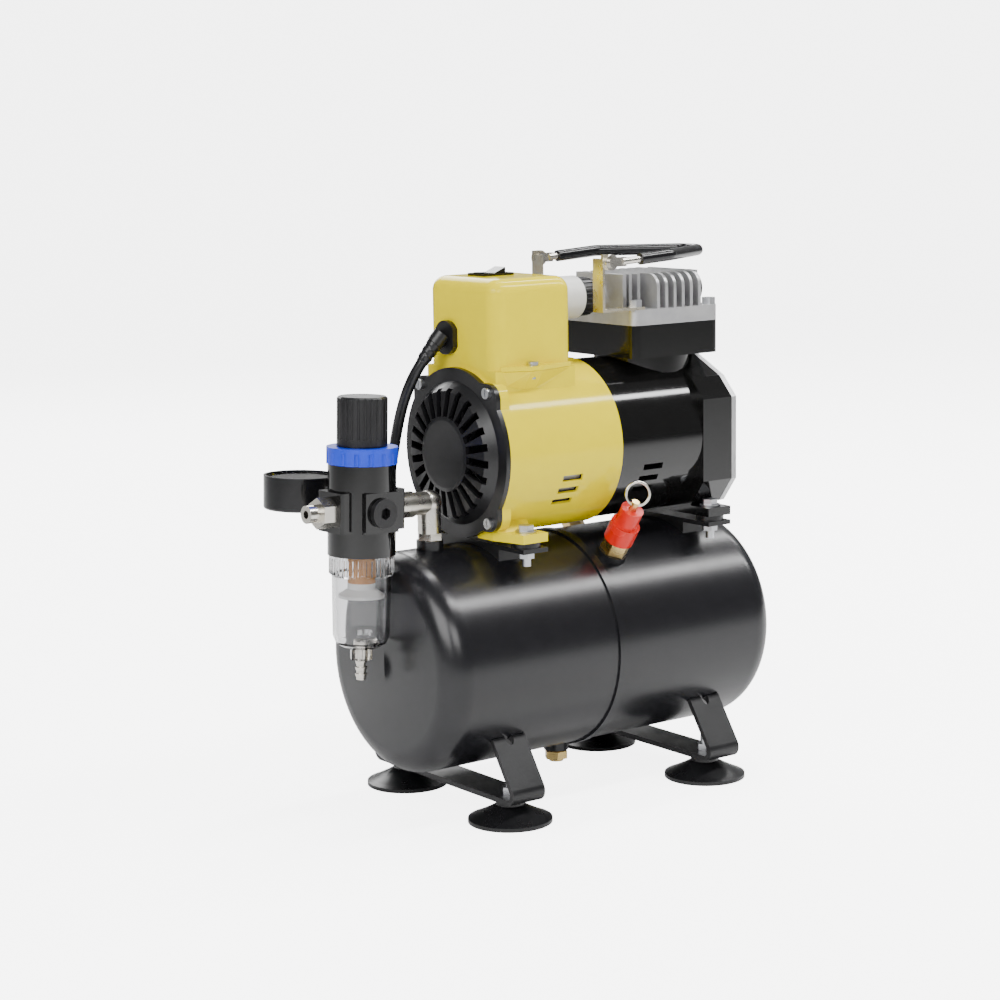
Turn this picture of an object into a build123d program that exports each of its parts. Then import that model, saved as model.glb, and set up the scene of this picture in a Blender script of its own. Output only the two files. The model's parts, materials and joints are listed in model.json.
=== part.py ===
"""Airbrush compressor: oil-free piston pump and motor on a small air tank, with a filter regulator.

Lengths are millimetres. The tank's axis runs along X, the regulator is at the -X end, the safety valve
faces -Y and +Z is up. Sizes are worked out about the tank's middle on the ground, and everything is then
moved together so that the origin is the middle of the footprint.
"""
from build123d import *
from copy import copy
from math import atan2, cos, degrees, pi, radians, sin, sqrt, tan
import os

# ---------------------------------------------------------------- clearances
run_gap = 0.05          # radial, between a turning or sliding piece and its hole
seat_gap = 0.03         # between curved faces of pieces that stay put

# ---------------------------------------------------------------- tank
tank_r = 62.0
tank_wall = 1.6
tank_half = 103.3       # middle to the start of a knuckle
knuckle_r = 15.0
dome_depth = 16.5
ground_gap = 24.0       # ground to the tank's lowest line
seam_width = 5.0
seam_proud = 1.1
tank_axis_z = ground_gap + tank_r
tank_top = tank_axis_z + tank_r

# ---------------------------------------------------------------- legs and feet
foot_x = 71.7
foot_y = 49.8
foot_r = 23.5
foot_lip = 2.2
foot_neck_r = 8.0
strap_width = 22.0
strap_thick = 3.0
strap_z = 13.0          # underside of the bar
strap_corner_y = 70.0
strap_top_angle = 39.0  # the leg's flange, measured at the tank's axis below the horizontal
foot_stud_r = 2.5
foot_nut_r = 4.6
foot_nut_h = 3.6

# ---------------------------------------------------------------- tank bosses
outlet_in = 15.8        # outlet boss, in from the start of the end knuckle
outlet_x = outlet_in - tank_half
outlet_boss_r = 7.5
outlet_boss_h = 5.0
valve_x = 14.5
valve_angle = 34.0      # from straight up, towards -Y
valve_boss_r = 9.0
valve_boss_h = 3.5
drain_boss_r = 7.2
drain_boss_h = 5.5
inlet_x = 52.0
inlet_angle = 42.0      # from straight up, towards +Y
inlet_boss_r = 7.0
inlet_boss_h = 4.0
boss_bore_r = 4.0
boss_inside = 2.0

# ---------------------------------------------------------------- motor mounts
mount_y = 42.0
front_mount_x = -52.0
rear_mount_x = 83.0
saddle_width = 17.0
saddle_thick = 2.5
rubber_r = 8.0
rubber_h = 3.2
lug_thick = 5.0
bolt_r = 2.5
bolt_head_r = 4.6
bolt_head_h = 3.0
washer_r = 6.0
washer_h = 1.0
nut_r = 4.6
nut_h = 3.8
bolt_end = 4.5          # thread showing below the nut
saddle_z = tank_top
rubber_z = saddle_z + saddle_thick
lug_z = rubber_z + rubber_h

# ---------------------------------------------------------------- motor
motor_z = 200.0
motor_r = 47.6
motor_wall = 2.6
motor_x0 = -66.0
motor_x1 = 13.0
flange_thick = 6.0
ear_y = 39.0
ear_z = 41.0
ear_round = 9.0
cover_screw_y = 31.5
cover_screw_z = 36.0
pad_x0 = -64.0
pad_x1 = -8.5
pad_y = 32.0
pad_z = 247.0
web_x = -42.0
web_thick = 4.0
shaft_r = 5.0
bearing_r = 13.0
bearing_w = 8.0
stator_x0 = -28.0
stator_x1 = 2.0
stator_bore_r = 24.5
rotor_r = 24.1
winding_r0 = 28.5
winding_r1 = 41.0
winding_len = 7.5

# ---------------------------------------------------------------- fan and its cover
cover_flange = 3.0
cover_rise = 8.0        # from the flange's face to the middle disc
cover_dome_r = 40.2
cover_disc_r = 19.0
cover_wall = 2.4
cover_slots = 24
slot_r0 = 21.0
slot_r1 = 36.5
fan_blades = 9
fan_r = 37.0
fan_hub_r = 13.0
fan_x0 = -66.0
fan_x1 = -49.0

# ---------------------------------------------------------------- crankcase
case_r = 46.2
case_wall = 3.0
case_x0 = motor_x1
case_x1 = 96.0
end_plate = 3.5
case_block_x = 80.0     # where the round body turns into the eight-sided end
block_top = 45.5
block_side = 46.6
block_bottom = 46.0
pump_x = 66.8           # cylinder axis
crank_throw = 6.0
crank_pin_r = 5.0
crank_web_r = 15.0
crank_web_w = 8.0
rod_width = 8.0
rod_end_r = 17.5
rod_shank = 11.0
piston_r = 18.6
piston_thick = 5.0
cup_thick = 1.2
bore_r = 19.0

# ---------------------------------------------------------------- cylinder and head
barrel_r = 27.8
spigot_wall = 2.6
head_half = 32.4
head_round = 5.0
block_z0 = 247.0
block_z1 = 259.8
plate_thick = 6.0
head_base = 9.0
head_top = 294.6
fin_pitch = 6.25
fin_thick = 2.0
fin_round = 8.0
head_bolt_inset = 4.5
port_r = 10.0
port_z = 281.5
port_y = 5.0
intake_y = 11.0
intake_r = 11.0
intake_len = 15.0
plate_z0 = block_z1
head_z0 = plate_z0 + plate_thick
head_z1 = head_z0 + head_base

# ---------------------------------------------------------------- handle
pivot_x = 17.0
pivot_y = 31.6
pivot_z = 303.0
bracket_width = 8.0
bracket_thick = 1.6
bail_r = 2.0
grip_r = 3.3
bail_bend_x = 60.0
bail_nose_x = 106.0
bail_rise = 2.2
pin_r = 1.8
eye_r = 4.4
eye_thick = 1.8
grip_near_x = 38.0      # sleeve ends, on the -Y and the +Y leg
grip_far_x = 31.0
wire_start = 7.6        # from the pivot, clear of the post when folded over

# ---------------------------------------------------------------- electrical box
box_top = 297.0
box_wall = 2.2
box_round = 9.0
ear_reach = 8.0
ear_plate = 2.4
ear_mid_x = -41.0
bezel_rise = 1.4
bezel_depth = 17.0
rocker_gap = 0.35
rocker_tilt = 10.0      # each way from level
capacitor_r = 11.0
capacitor_len = 30.0

# ---------------------------------------------------------------- cord
cord_r = 3.1
gland_y = 11.0
gland_z = 263.5
gland_r = 9.5
gland_flat = 8.2
gland_len = 3.2
boot_r = 5.0
# Free lead from the gland to its coil, a list chosen by hand.
cord_points = [
    (-72.5, 12.4, 260.5),
    (-79.5, 16.0, 250.5),
    (-84.0, 23.5, 235.5),
    (-84.5, 32.5, 216.5),
    (-83.0, 42.0, 192.0),
    (-79.5, 55.0, 164.0),
    (-77.0, 65.5, 134.0),
    (-73.5, 74.0, 102.0),
    (-68.0, 79.5, 71.0),
    (-58.5, 83.5, 42.0),
    (-44.5, 87.5, 18.5),
    (-27.0, 92.5, 5.5),
    (-10.0, 95.2, 3.4),
]
coil_x = 8.0
coil_y = 129.0
coil_mid_r = 34.0
coil_half_w = 9.6
coil_height = 12.6
plug_y = 95.0
plug_r = 17.5
plug_neck_r = 7.0
plug_len = 30.0
plug_neck_len = 14.0
plug_pin_r = 2.4
plug_pin_len = 19.0
plug_pin_gap = 19.0

# ---------------------------------------------------------------- pressure switch and delivery
sensor_r = 12.2
sensor_len = 24.0
sensor_nut_r = 8.0
delivery_y = 58.0
delivery_r = 3.0
tube_nut_r = 6.5
tube_nut_len = 9.0

# ---------------------------------------------------------------- safety valve
valve_hex_r = 8.2
valve_hex_h = 8.0
sleeve_r0 = 8.6
sleeve_h0 = 11.5
sleeve_r1 = 6.6
sleeve_h1 = 11.0
stem_r = 2.2
stem_out = 5.5
ring_r = 7.5
ring_wire_r = 0.8
sleeve_wall = 1.6

# ---------------------------------------------------------------- filter regulator
reg_out = 46.3          # filter regulator's axis, out from the outlet boss
reg_x = outlet_x - reg_out
reg_lean = 2.0          # the outlet end stands higher than the elbow end
reg_turn = 3.0          # from the tank's length, outlet end towards -Y
reg_axis_z = 174.0      # height of its four ports
reg_r = 18.6
reg_z0 = 149.5
reg_z1 = 199.3
reg_boss_half = 11.0
reg_boss_reach = 21.5
lock_z1 = 208.5
lock_r = 19.4
lock_notches = 16
knob_r = 13.8
knob_z1 = 235.7
knob_neck_r = 12.2
knob_flutes = 24
screw_r = 4.0
spring_r = 7.0
spring_wire_r = 0.9
spring_turns = 5
elbow_r = 6.5
elbow_z0 = tank_top + outlet_boss_h
coupling_r = 7.3
coupling_len = 12.0
plug_port_r = 8.0
plug_port_reach = 3.0
outlet_hex_r = 8.6
outlet_hex_len = 8.5
outlet_thread_r = 4.86
outlet_thread_len = 7.0
outlet_bore_r = 2.2
gauge_y = 57.0
gauge_r = 21.0
gauge_z0 = 168.0
gauge_z1 = 187.0
gauge_wall = 1.6
gauge_stem_r = 5.0
shoulder_z0 = 139.5
shoulder_r = 17.9
bowl_r = 16.2
bowl_wall = 2.0
bowl_z0 = 98.0
bowl_round = 7.0
filter_r = 7.6
filter_z0 = 134.0
filter_bore_r = 3.0
baffle_r = 12.5
baffle_thick = 1.6
baffle_z = 129.0
drain_nut_r = 6.5
drain_nut_h = 6.5
barb_r = 2.6
barb_tip_z = 80.0
barb_bore_r = 1.2

# ---------------------------------------------------------------- smaller sizes
strap_bend = 4.5
foot_stud_out = 5.0
drain_x = 0.0
drain_gap = 1.0
drain_head_r = 7.0
drain_head_h = 5.5
saddle_half = 50.5
saddle_web = 9.0
saddle_web_half = 28.0
lug_root_y = 30.0
rib_top_y = 30.0
rib_z = 160.0
web_window_r = 6.5
web_window_mid = 30.0
wire_hole_r = 6.0
screw_hole_r = 1.55
screw_r1 = 1.5
screw_head_r = 3.1
screw_head_h = 2.2
ear_screw_y = 35.7
vent_x = -21.5
case_vent_x = 38.0
vent_angle = 17.0
vent_step = 9.0
vent_shift = -1.6
vent_len = 14.0
vent_high = 3.6
slot_wide = 4.2
fan_pitch = 18.0
shaft_end = 54.5
crank_web_x = 49.0
plate_screw_y = 34.0
plate_screw_z = 26.0
piston_z0 = 252.6
spigot_z0 = 236.0
reed_x = 9.0
reed_port_r = 3.0
reed_half = 5.0
reed_thick = 0.4
fin_inset = 1.0
fin_count = 9
fin_drop = 3.0
core_half = 13.0
pocket_wide = 11.5
pocket_small = 4.9
pocket_deep = 6.6
fin_first = 5.6
head_wall = 2.6
post_back = 5.4
bolt_floor = 3.0
chamber_mid = 10.5
chamber_half = 8.5
chamber_h = 6.0
port_reach = 1.5
port_bore_r = 2.5
delivery_x = 53.0
delivery_bend = 14.0
head_bolt_r = 2.0
head_bolt_h = 4.0
head_bolt_hex_r = 4.05
intake_holes = 8
sensor_nut_len = 4.0
sensor_ring_len = 8.0
sensor_sleeve_r = 7.0
sensor_flutes = 24
pin_head_h = 1.2
eye_gap = 0.15
bail_nose_y = 7.0
bail_bend_r = 8.0
tang_len = 6.0
tang_half = 2.6
switch_x = -38.0
switch_y = 6.0
switch_lip_x = 10.5
switch_lip_y = 7.5
switch_body_x = 9.4
switch_body_y = 6.4
rocker_well_x = 8.3
rocker_well_y = 5.2
rocker_drop = 1.0       # pivot below the box top
rocker_z = box_top - rocker_drop
rocker_pin_r = 0.9
rocker_pin_len = 0.9
capacitor_x = -29.5
capacitor_z = 260.5
gland_hole_r = 6.0
boot_back = 7.0
plug_x0 = 41.0
ring_turn = 38.0
ring_play = 0.45
elbow_hex_h = 4.0
elbow_hex_r = 7.2
elbow_bore_r = 2.6
reg_side_reach = 18.6
reg_port_r = 4.9
port_depth = 7.0
spring_z0 = 184.0
screw_z0 = 196.6
knob_gap = 0.4
socket_r = 3.4
dial_z = 179.5
needle_pin_r = 0.8
needle_len = 18.0
needle_rest = 225.0
barb_rings = 3
barb_pitch = 3.6
shoulder_ribs = 36

X_AXIS = Vector(1, 0, 0)
Y_AXIS = Vector(0, 1, 0)
Z_AXIS = Vector(0, 0, 1)


# ================================================================ helpers
def along(start, direction):
    """A frame at a point whose Z runs along a direction."""
    return Plane(origin=start, z_dir=Vector(*direction))


def rod(start, end, r):
    """A round bar between two points."""
    run = Vector(*end) - Vector(*start)
    return Plane(origin=start, z_dir=run) * Cylinder(r, run.length, align=(Align.CENTER, Align.CENTER, Align.MIN))


def tube(start, end, r_out, r_in):
    """A pipe between two points."""
    return rod(start, end, r_out) - rod(start, end, r_in)


def bar_x(x0, x1, y, z, r):
    return rod((x0, y, z), (x1, y, z), r)


def bar_z(x, y, z0, z1, r):
    return rod((x, y, z0), (x, y, z1), r)


def hex_bar(start, end, r):
    """A six-sided bar; r is to its corners."""
    run = Vector(*end) - Vector(*start)
    plane = Plane(origin=start, z_dir=run)
    return extrude(plane * RegularPolygon(r, 6), run.length)


def block(x0, x1, y0, y1, z0, z1):
    size = (x1 - x0, y1 - y0, z1 - z0)
    return Pos((x0 + x1) / 2, (y0 + y1) / 2, (z0 + z1) / 2) * Box(*size)


def around_x(points, y=0.0, z=0.0):
    """Turn a closed outline of (x, radius) points about an axis along X."""
    face = Plane.XZ * make_face(Polyline(*points, close=True))
    return Pos(0, y, z) * revolve(face, Axis.X)


def around_z(points, x=0.0, y=0.0):
    """Turn a closed outline of (radius, z) points about an axis along Z."""
    face = Plane.XZ * make_face(Polyline(*points, close=True))
    return Pos(x, y, 0) * revolve(face, Axis.Z)


def group(solids):
    """Pieces that share one node but stay separate solids."""
    return Compound([solid for piece in solids for solid in piece.solids()])


def raise_z(outline, z0, z1):
    """A flat outline given height, from z0 to z1."""
    return extrude(Pos(0, 0, z0) * outline, z1 - z0, dir=(0, 0, 1))


def across_x(outline, x0, x1):
    """An outline of (y, z) points given length along X, from x0 to x1."""
    plane = Plane(origin=(x0, 0, 0), x_dir=(0, 1, 0), z_dir=(1, 0, 0))
    return extrude(plane * outline, x1 - x0, dir=(1, 0, 0))


def on_tank(x, angle, r):
    """A point at a distance from the tank's axis; angle from straight up, positive towards -Y."""
    a = radians(angle)
    return (x, -r * sin(a), tank_axis_z + r * cos(a))


# ================================================================ tank
def tank_outline(inset):
    """Half of the tank's section, from the middle to the end of the dome, at a depth under the skin."""
    r = tank_r - inset
    depth = dome_depth - inset
    kr = knuckle_r - inset
    flat_r = tank_r - knuckle_r
    crown_r = (depth ** 2 - kr ** 2 + flat_r ** 2) / (2 * (depth - kr))
    centre_x = tank_half + depth - crown_r
    reach = crown_r - kr
    meet = Vector(tank_half, flat_r) + Vector(tank_half - centre_x, flat_r) * (kr / reach)
    middle = radians((90 + degrees(atan2(flat_r, tank_half - centre_x))) / 2)
    knuckle_mid = Vector(tank_half + kr * cos(middle), flat_r + kr * sin(middle))
    crown_angle = atan2(meet.Y, meet.X - centre_x) / 2
    crown_mid = Vector(centre_x + crown_r * cos(crown_angle), crown_r * sin(crown_angle))
    top = Line((0, r), (tank_half, r))
    knuckle = ThreePointArc((tank_half, r), knuckle_mid, meet)
    crown = ThreePointArc(meet, crown_mid, (tank_half + depth, 0))
    return [top, knuckle, crown]


def tank_solid(inset):
    """One half of the tank as a solid of revolution."""
    top, knuckle, crown = tank_outline(inset)
    end = Vector(tank_half + dome_depth - inset, 0)
    wire = Wire([*top.edges(), *knuckle.edges(), *crown.edges(),
                 Edge.make_line(end, Vector(0, 0)), Edge.make_line(Vector(0, 0), Vector(0, tank_r - inset))])
    half = revolve(Plane.XZ * make_face(wire), Axis.X)
    return Pos(0, 0, tank_axis_z) * half


def boss_axes():
    """Name, outer radius, height above the skin, x and angle of every threaded boss."""
    return [
        ("outlet", outlet_boss_r, outlet_boss_h, outlet_x, 0.0),
        ("valve", valve_boss_r, valve_boss_h, valve_x, valve_angle),
        ("drain", drain_boss_r, drain_boss_h, 0.0, 180.0),
        ("inlet", inlet_boss_r, inlet_boss_h, inlet_x, -inlet_angle),
    ]


def make_tank():
    """Two drawn shells that meet in the middle, and the threaded bosses welded through them."""
    rear = tank_solid(0) - tank_solid(tank_wall)
    seam = tube((0, 0, tank_axis_z), (seam_width / 2, 0, tank_axis_z), tank_r + seam_proud, tank_r - tank_wall / 2)
    rear = rear + seam
    front = mirror(rear, Plane.YZ)
    bosses = []
    for r, height, x, angle in (
        (outlet_boss_r, outlet_boss_h, outlet_x, 0),
        (valve_boss_r, valve_boss_h, valve_x, valve_angle),
        (drain_boss_r, drain_boss_h, drain_x, 180),
        (inlet_boss_r, inlet_boss_h, inlet_x, -inlet_angle),
    ):
        inner = on_tank(x, angle, tank_r - tank_wall - boss_inside)
        outer = on_tank(x, angle, tank_r + height)
        hole = rod(on_tank(x, angle, tank_r - tank_wall - 2 * r), outer, r + seat_gap)
        if x - r < 0:
            front = front - hole
        if x + r > 0:
            rear = rear - hole
        bosses.append(tube(inner, outer, r, boss_bore_r))
    return front, rear, group(bosses)


def leg_strap(x):
    """Flat steel bent under the tank, its ends turned up and welded against the tank's sides."""
    a = radians(strap_top_angle)
    mid_z = strap_z + strap_thick / 2
    weld = (-tank_r * cos(a), tank_axis_z - tank_r * sin(a))
    path = FilletPolyline((0, mid_z), (-strap_corner_y, mid_z), weld, radius=strap_bend)
    strip = trace(path, strap_thick)
    half = across_x(strip, x - strap_width / 2, x + strap_width / 2)
    strap = half + mirror(half, Plane.XZ)
    strap = strap - bar_x(x - strap_width, x + strap_width, 0, tank_axis_z, tank_r + seat_gap)
    for y in (-foot_y, foot_y):
        strap = strap - bar_z(x, y, 0, tank_axis_z, foot_stud_r + run_gap)
    return strap


def suction_foot(x, y):
    """Rubber cup: thin lip on the ground, hollow beneath, a neck up to the strap."""
    profile = [
        (foot_stud_r, strap_z), (foot_neck_r, strap_z), (foot_neck_r, strap_z - 3.2),
        (foot_neck_r + 5, strap_z - 6.0), (foot_r - 3, foot_lip + 1.2), (foot_r, foot_lip), (foot_r, 0),
        (foot_r - 2.5, 0), (foot_neck_r + 4, 3.4), (foot_stud_r, 4.6),
    ]
    return around_z(profile, x, y)


def foot_fasteners():
    """A stud in each foot, held above the strap by a nut."""
    solids = []
    top = strap_z + strap_thick
    for x in (-foot_x, foot_x):
        for y in (-foot_y, foot_y):
            solids.append(bar_z(x, y, strap_z - 5, top + foot_nut_h + foot_stud_out, foot_stud_r))
            nut = hex_bar((x, y, top), (x, y, top + foot_nut_h), foot_nut_r)
            solids.append(nut - bar_z(x, y, top - 1, top + foot_nut_h + 1, foot_stud_r))
    return solids


def tank_drain():
    """Brass drain screw: threaded shank in the boss, six-sided head below it."""
    boss_end = ground_gap - drain_boss_h
    shank = bar_z(drain_x, 0, boss_end, ground_gap + 1, boss_bore_r - run_gap)
    head = hex_bar((drain_x, 0, boss_end - drain_head_h), (drain_x, 0, boss_end - drain_gap), drain_head_r)
    neck = bar_z(drain_x, 0, boss_end - drain_gap, boss_end, boss_bore_r - run_gap)
    tip = bar_z(drain_x, 0, boss_end - drain_head_h - 1.5, boss_end - drain_head_h, drain_head_r * 0.6)
    vent = bar_z(drain_x, 0, boss_end - drain_head_h - 2, ground_gap + 2, 1.0)
    return head + shank + neck + tip - vent


# ================================================================ motor mounts
def mount_points():
    return [(x, y) for x in (front_mount_x, rear_mount_x) for y in (-mount_y, mount_y)]


def motor_saddle(x):
    """Strip welded across the tank's top, a bolt hole at each end, its middle hollowed to the tank."""
    strip = block(x - saddle_width / 2, x + saddle_width / 2, -saddle_half, saddle_half, saddle_z - saddle_web, saddle_z + saddle_thick)
    under = block(x - saddle_width, x + saddle_width, saddle_web_half, saddle_half + 1, 0, saddle_z)
    strip = strip - under - mirror(under, Plane.XZ)
    strip = strip - bar_x(x - saddle_width, x + saddle_width, 0, tank_axis_z, tank_r + seat_gap)
    for y in (-mount_y, mount_y):
        strip = strip - bar_z(x, y, saddle_z - 1, rubber_z + 1, bolt_r + run_gap)
    return strip


def isolator(x, y):
    """Rubber pad between saddle and lug."""
    pad = bar_z(x, y, rubber_z, lug_z, rubber_r)
    return pad - bar_z(x, y, rubber_z - 1, lug_z + 1, bolt_r + run_gap)


def mount_fastener(x, y):
    """Bolt with its washer under the head, and the nut below the saddle."""
    top = lug_z + lug_thick
    washer = bar_z(x, y, top, top + washer_h, washer_r)
    head = hex_bar((x, y, top + washer_h), (x, y, top + washer_h + bolt_head_h), bolt_head_r)
    shank = bar_z(x, y, saddle_z - nut_h - bolt_end, top, bolt_r)
    nut = hex_bar((x, y, saddle_z - nut_h), (x, y, saddle_z), nut_r)
    nut = nut - bar_z(x, y, saddle_z - nut_h - 1, saddle_z + 1, bolt_r)
    return [washer + head + shank, nut]


# ================================================================ motor
def motor_end_outline():
    """Round casing with four ears, as a face across X."""
    face = Circle(motor_r) + RectangleRounded(2 * ear_y, 2 * ear_z, ear_round)
    return Pos(0, motor_z) * face


def vent_slots(x, wall_r):
    """Three slanted vents cut through a casing's wall low on its -Y side, as cutters."""
    cutters = []
    for row in range(3):
        a = radians(vent_angle + row * vent_step)
        middle = Vector(x + row * vent_shift, -wall_r * cos(a), motor_z - wall_r * sin(a))
        plane = Plane(origin=middle, x_dir=(1, 0, 0), z_dir=(0, -cos(a), -sin(a)))
        cutters.append(plane * Box(vent_len, vent_high, 12))
    return cutters


def motor_housing():
    """Cast casing: round body, eared front flange, box pad on top, bearing web inside, two foot lugs."""
    body = bar_x(motor_x0, motor_x1, 0, motor_z, motor_r)
    body = body + across_x(motor_end_outline(), motor_x0, motor_x0 + flange_thick)
    body = body + block(pad_x0, pad_x1, -pad_y, pad_y, motor_z, pad_z)
    lug_x0 = front_mount_x - saddle_width / 2
    lug_x1 = front_mount_x + saddle_width / 2
    for side in (-1, 1):
        foot = Polygon(
            (motor_x0, side * 16), (motor_x0, side * lug_root_y), (lug_x0, side * (mount_y + saddle_width / 2)),
            (lug_x1, side * (mount_y + saddle_width / 2)), (lug_x1, side * lug_root_y), (lug_x1, side * 16),
            align=None,
        )
        body = body + raise_z(foot, lug_z, lug_z + lug_thick)
        rib = Polygon(
            (side * 18, lug_z + lug_thick), (side * (mount_y - bolt_head_r - 2), lug_z + lug_thick),
            (side * rib_top_y, motor_z - sqrt(motor_r ** 2 - rib_top_y ** 2) + 2), (side * 18, rib_z), align=None,
        )
        body = body + across_x(rib, motor_x0, lug_x1)
    inside = motor_r - motor_wall
    body = body - bar_x(motor_x0 - 1, motor_x1 + 1, 0, motor_z, inside)
    web = tube((web_x, 0, motor_z), (web_x + web_thick, 0, motor_z), inside + motor_wall / 2, bearing_r + seat_gap)
    hub = tube((web_x, 0, motor_z), (web_x + bearing_w, 0, motor_z), bearing_r + 3, bearing_r + seat_gap)
    body = body + web + hub
    for k in range(6):
        a = radians(60 * k + 30)
        body = body - bar_x(web_x - 1, web_x + web_thick + 1, web_window_mid * cos(a), motor_z + web_window_mid * sin(a), web_window_r)
    for y, z in cover_screw_places():
        body = body - bar_x(motor_x0 - 1, motor_x0 + flange_thick, y, z, screw_hole_r)
    for x, y in mount_points()[:2]:
        body = body - bar_z(x, y, lug_z - 1, lug_z + lug_thick + 1, bolt_r + run_gap)
    for cutter in vent_slots(vent_x, motor_r):
        body = body - cutter
    wire_hole = bar_z((pad_x0 + pad_x1) / 2, 0, motor_z + inside - 4, pad_z + 1, wire_hole_r)
    for y in (-ear_screw_y, ear_screw_y):
        body = body - bar_z(ear_mid_x, y, pad_z - 6, pad_z + 1, screw_hole_r)
    return body - wire_hole


def cover_screw_places():
    return [(sy * cover_screw_y, motor_z + sz * cover_screw_z) for sy in (-1, 1) for sz in (-1, 1)]


def fan_cover():
    """Moulded cover: eared flange, domed middle with radial slots round a plain disc."""
    face_x = motor_x0 - cover_flange
    disc_x = face_x - cover_rise
    flange = across_x(motor_end_outline(), face_x, motor_x0)
    flange = flange - bar_x(face_x - 1, motor_x0 + 1, 0, motor_z, cover_dome_r - cover_wall)
    outer = [(face_x, cover_dome_r), (disc_x + 2.2, slot_r1 - 1.5), (disc_x, cover_disc_r), (disc_x, 0)]
    inner = [(disc_x + cover_wall, 0), (disc_x + cover_wall, cover_disc_r),
             (disc_x + 2.2 + cover_wall, slot_r1 - 2.5), (face_x + cover_wall, cover_dome_r - cover_wall)]
    dome = around_x(outer + inner + [(motor_x0, cover_dome_r - cover_wall), (motor_x0, cover_dome_r)], 0, motor_z)
    cover = flange + dome
    for k in range(cover_slots):
        turn = Pos(0, 0, motor_z) * Rot(360.0 * k / cover_slots + 4, 0, 0)
        slot = Pos(0, 0, (slot_r0 + slot_r1) / 2) * Box(4 * cover_rise, slot_wide, slot_r1 - slot_r0)
        cover = cover - turn * (Pos(disc_x, 0, 0) * slot)
    for y, z in cover_screw_places():
        cover = cover - bar_x(face_x - 1, motor_x0 + 1, y, z, screw_hole_r)
    return cover


def pan_screw(seat, direction, length):
    """Pan-head screw: shank behind the seat point, head in front of it, along a direction."""
    seat = Vector(*seat)
    out = Vector(*direction)
    shank = rod(tuple(seat - out * length), tuple(seat), screw_r1)
    head = rod(tuple(seat), tuple(seat + out * screw_head_h), screw_head_r)
    slot = along(tuple(seat + out * screw_head_h), direction) * Box(screw_head_r * 1.3, 0.7, 1.4)
    return shank + head - slot


def case_screws():
    face_x = motor_x0 - cover_flange
    screws = [pan_screw((face_x, y, z), (-1, 0, 0), cover_flange + 5) for y, z in cover_screw_places()]
    top = pad_z + ear_plate
    screws += [pan_screw((ear_mid_x, y, top), (0, 0, 1), ear_plate + 5) for y in (-ear_screw_y, ear_screw_y)]
    for y, z in plate_screw_places():
        screws.append(pan_screw((case_x1 + end_plate, y, z), (1, 0, 0), end_plate + 6))
    return screws


def cooling_fan():
    """Hub and straight paddles behind the cover."""
    fan = bar_x(fan_x0, fan_x1, 0, motor_z, fan_hub_r)
    for k in range(fan_blades):
        blade = Pos(0, 0, motor_z) * Rot(360.0 * k / fan_blades, 0, 0)
        paddle = Pos((fan_x0 + fan_x1) / 2, 0, (fan_hub_r + fan_r) / 2) * Rot(0, 0, fan_pitch)
        fan = fan + blade * (paddle * Box(fan_x1 - fan_x0, 1.6, fan_r - fan_hub_r + 2))
    return fan - bar_x(fan_x0 - 1, fan_x1 + 1, 0, motor_z, shaft_r)


def rotor_core():
    core = bar_x(stator_x0, stator_x1, 0, motor_z, rotor_r)
    rings = bar_x(stator_x0 - 3, stator_x1 + 3, 0, motor_z, rotor_r - 3)
    return core + rings - bar_x(stator_x0 - 5, stator_x1 + 5, 0, motor_z, shaft_r)


def motor_shaft():
    return bar_x(fan_x0 + 2, shaft_end, 0, motor_z, shaft_r)


def stator():
    """Laminated ring with a winding ring at each end."""
    inside = motor_r - motor_wall - seat_gap
    core = tube((stator_x0, 0, motor_z), (stator_x1, 0, motor_z), inside, stator_bore_r)
    front = tube((stator_x0 - winding_len, 0, motor_z), (stator_x0, 0, motor_z), winding_r1, winding_r0)
    back = tube((stator_x1, 0, motor_z), (stator_x1 + winding_len, 0, motor_z), winding_r1, winding_r0)
    return [core, front, back]


def ball_bearings():
    """Two shaft bearings and the big-end bearing."""
    rows = [(web_x, 0), (case_x0 + 2, 0), (pump_x - bearing_w / 2, crank_throw)]
    return [tube((x, 0, motor_z + up), (x + bearing_w, 0, motor_z + up), bearing_r, shaft_r + run_gap) for x, up in rows]


# ================================================================ crankcase
def block_outline(grow):
    """Eight-sided end of the crankcase, as a face across X."""
    points = [
        (12, block_top + grow), (36, block_top - 12 + grow), (block_side + grow, 22), (block_side + grow, -26),
        (36, -block_bottom + 6), (14, -block_bottom),
    ]
    full = points + [(-y, z) for y, z in reversed(points)]
    return Pos(0, motor_z) * Polygon(*full, align=None)


def plate_screw_places():
    return [(sy * plate_screw_y, motor_z + sz * plate_screw_z) for sy in (-1, 1) for sz in (-1, 1)]


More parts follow.
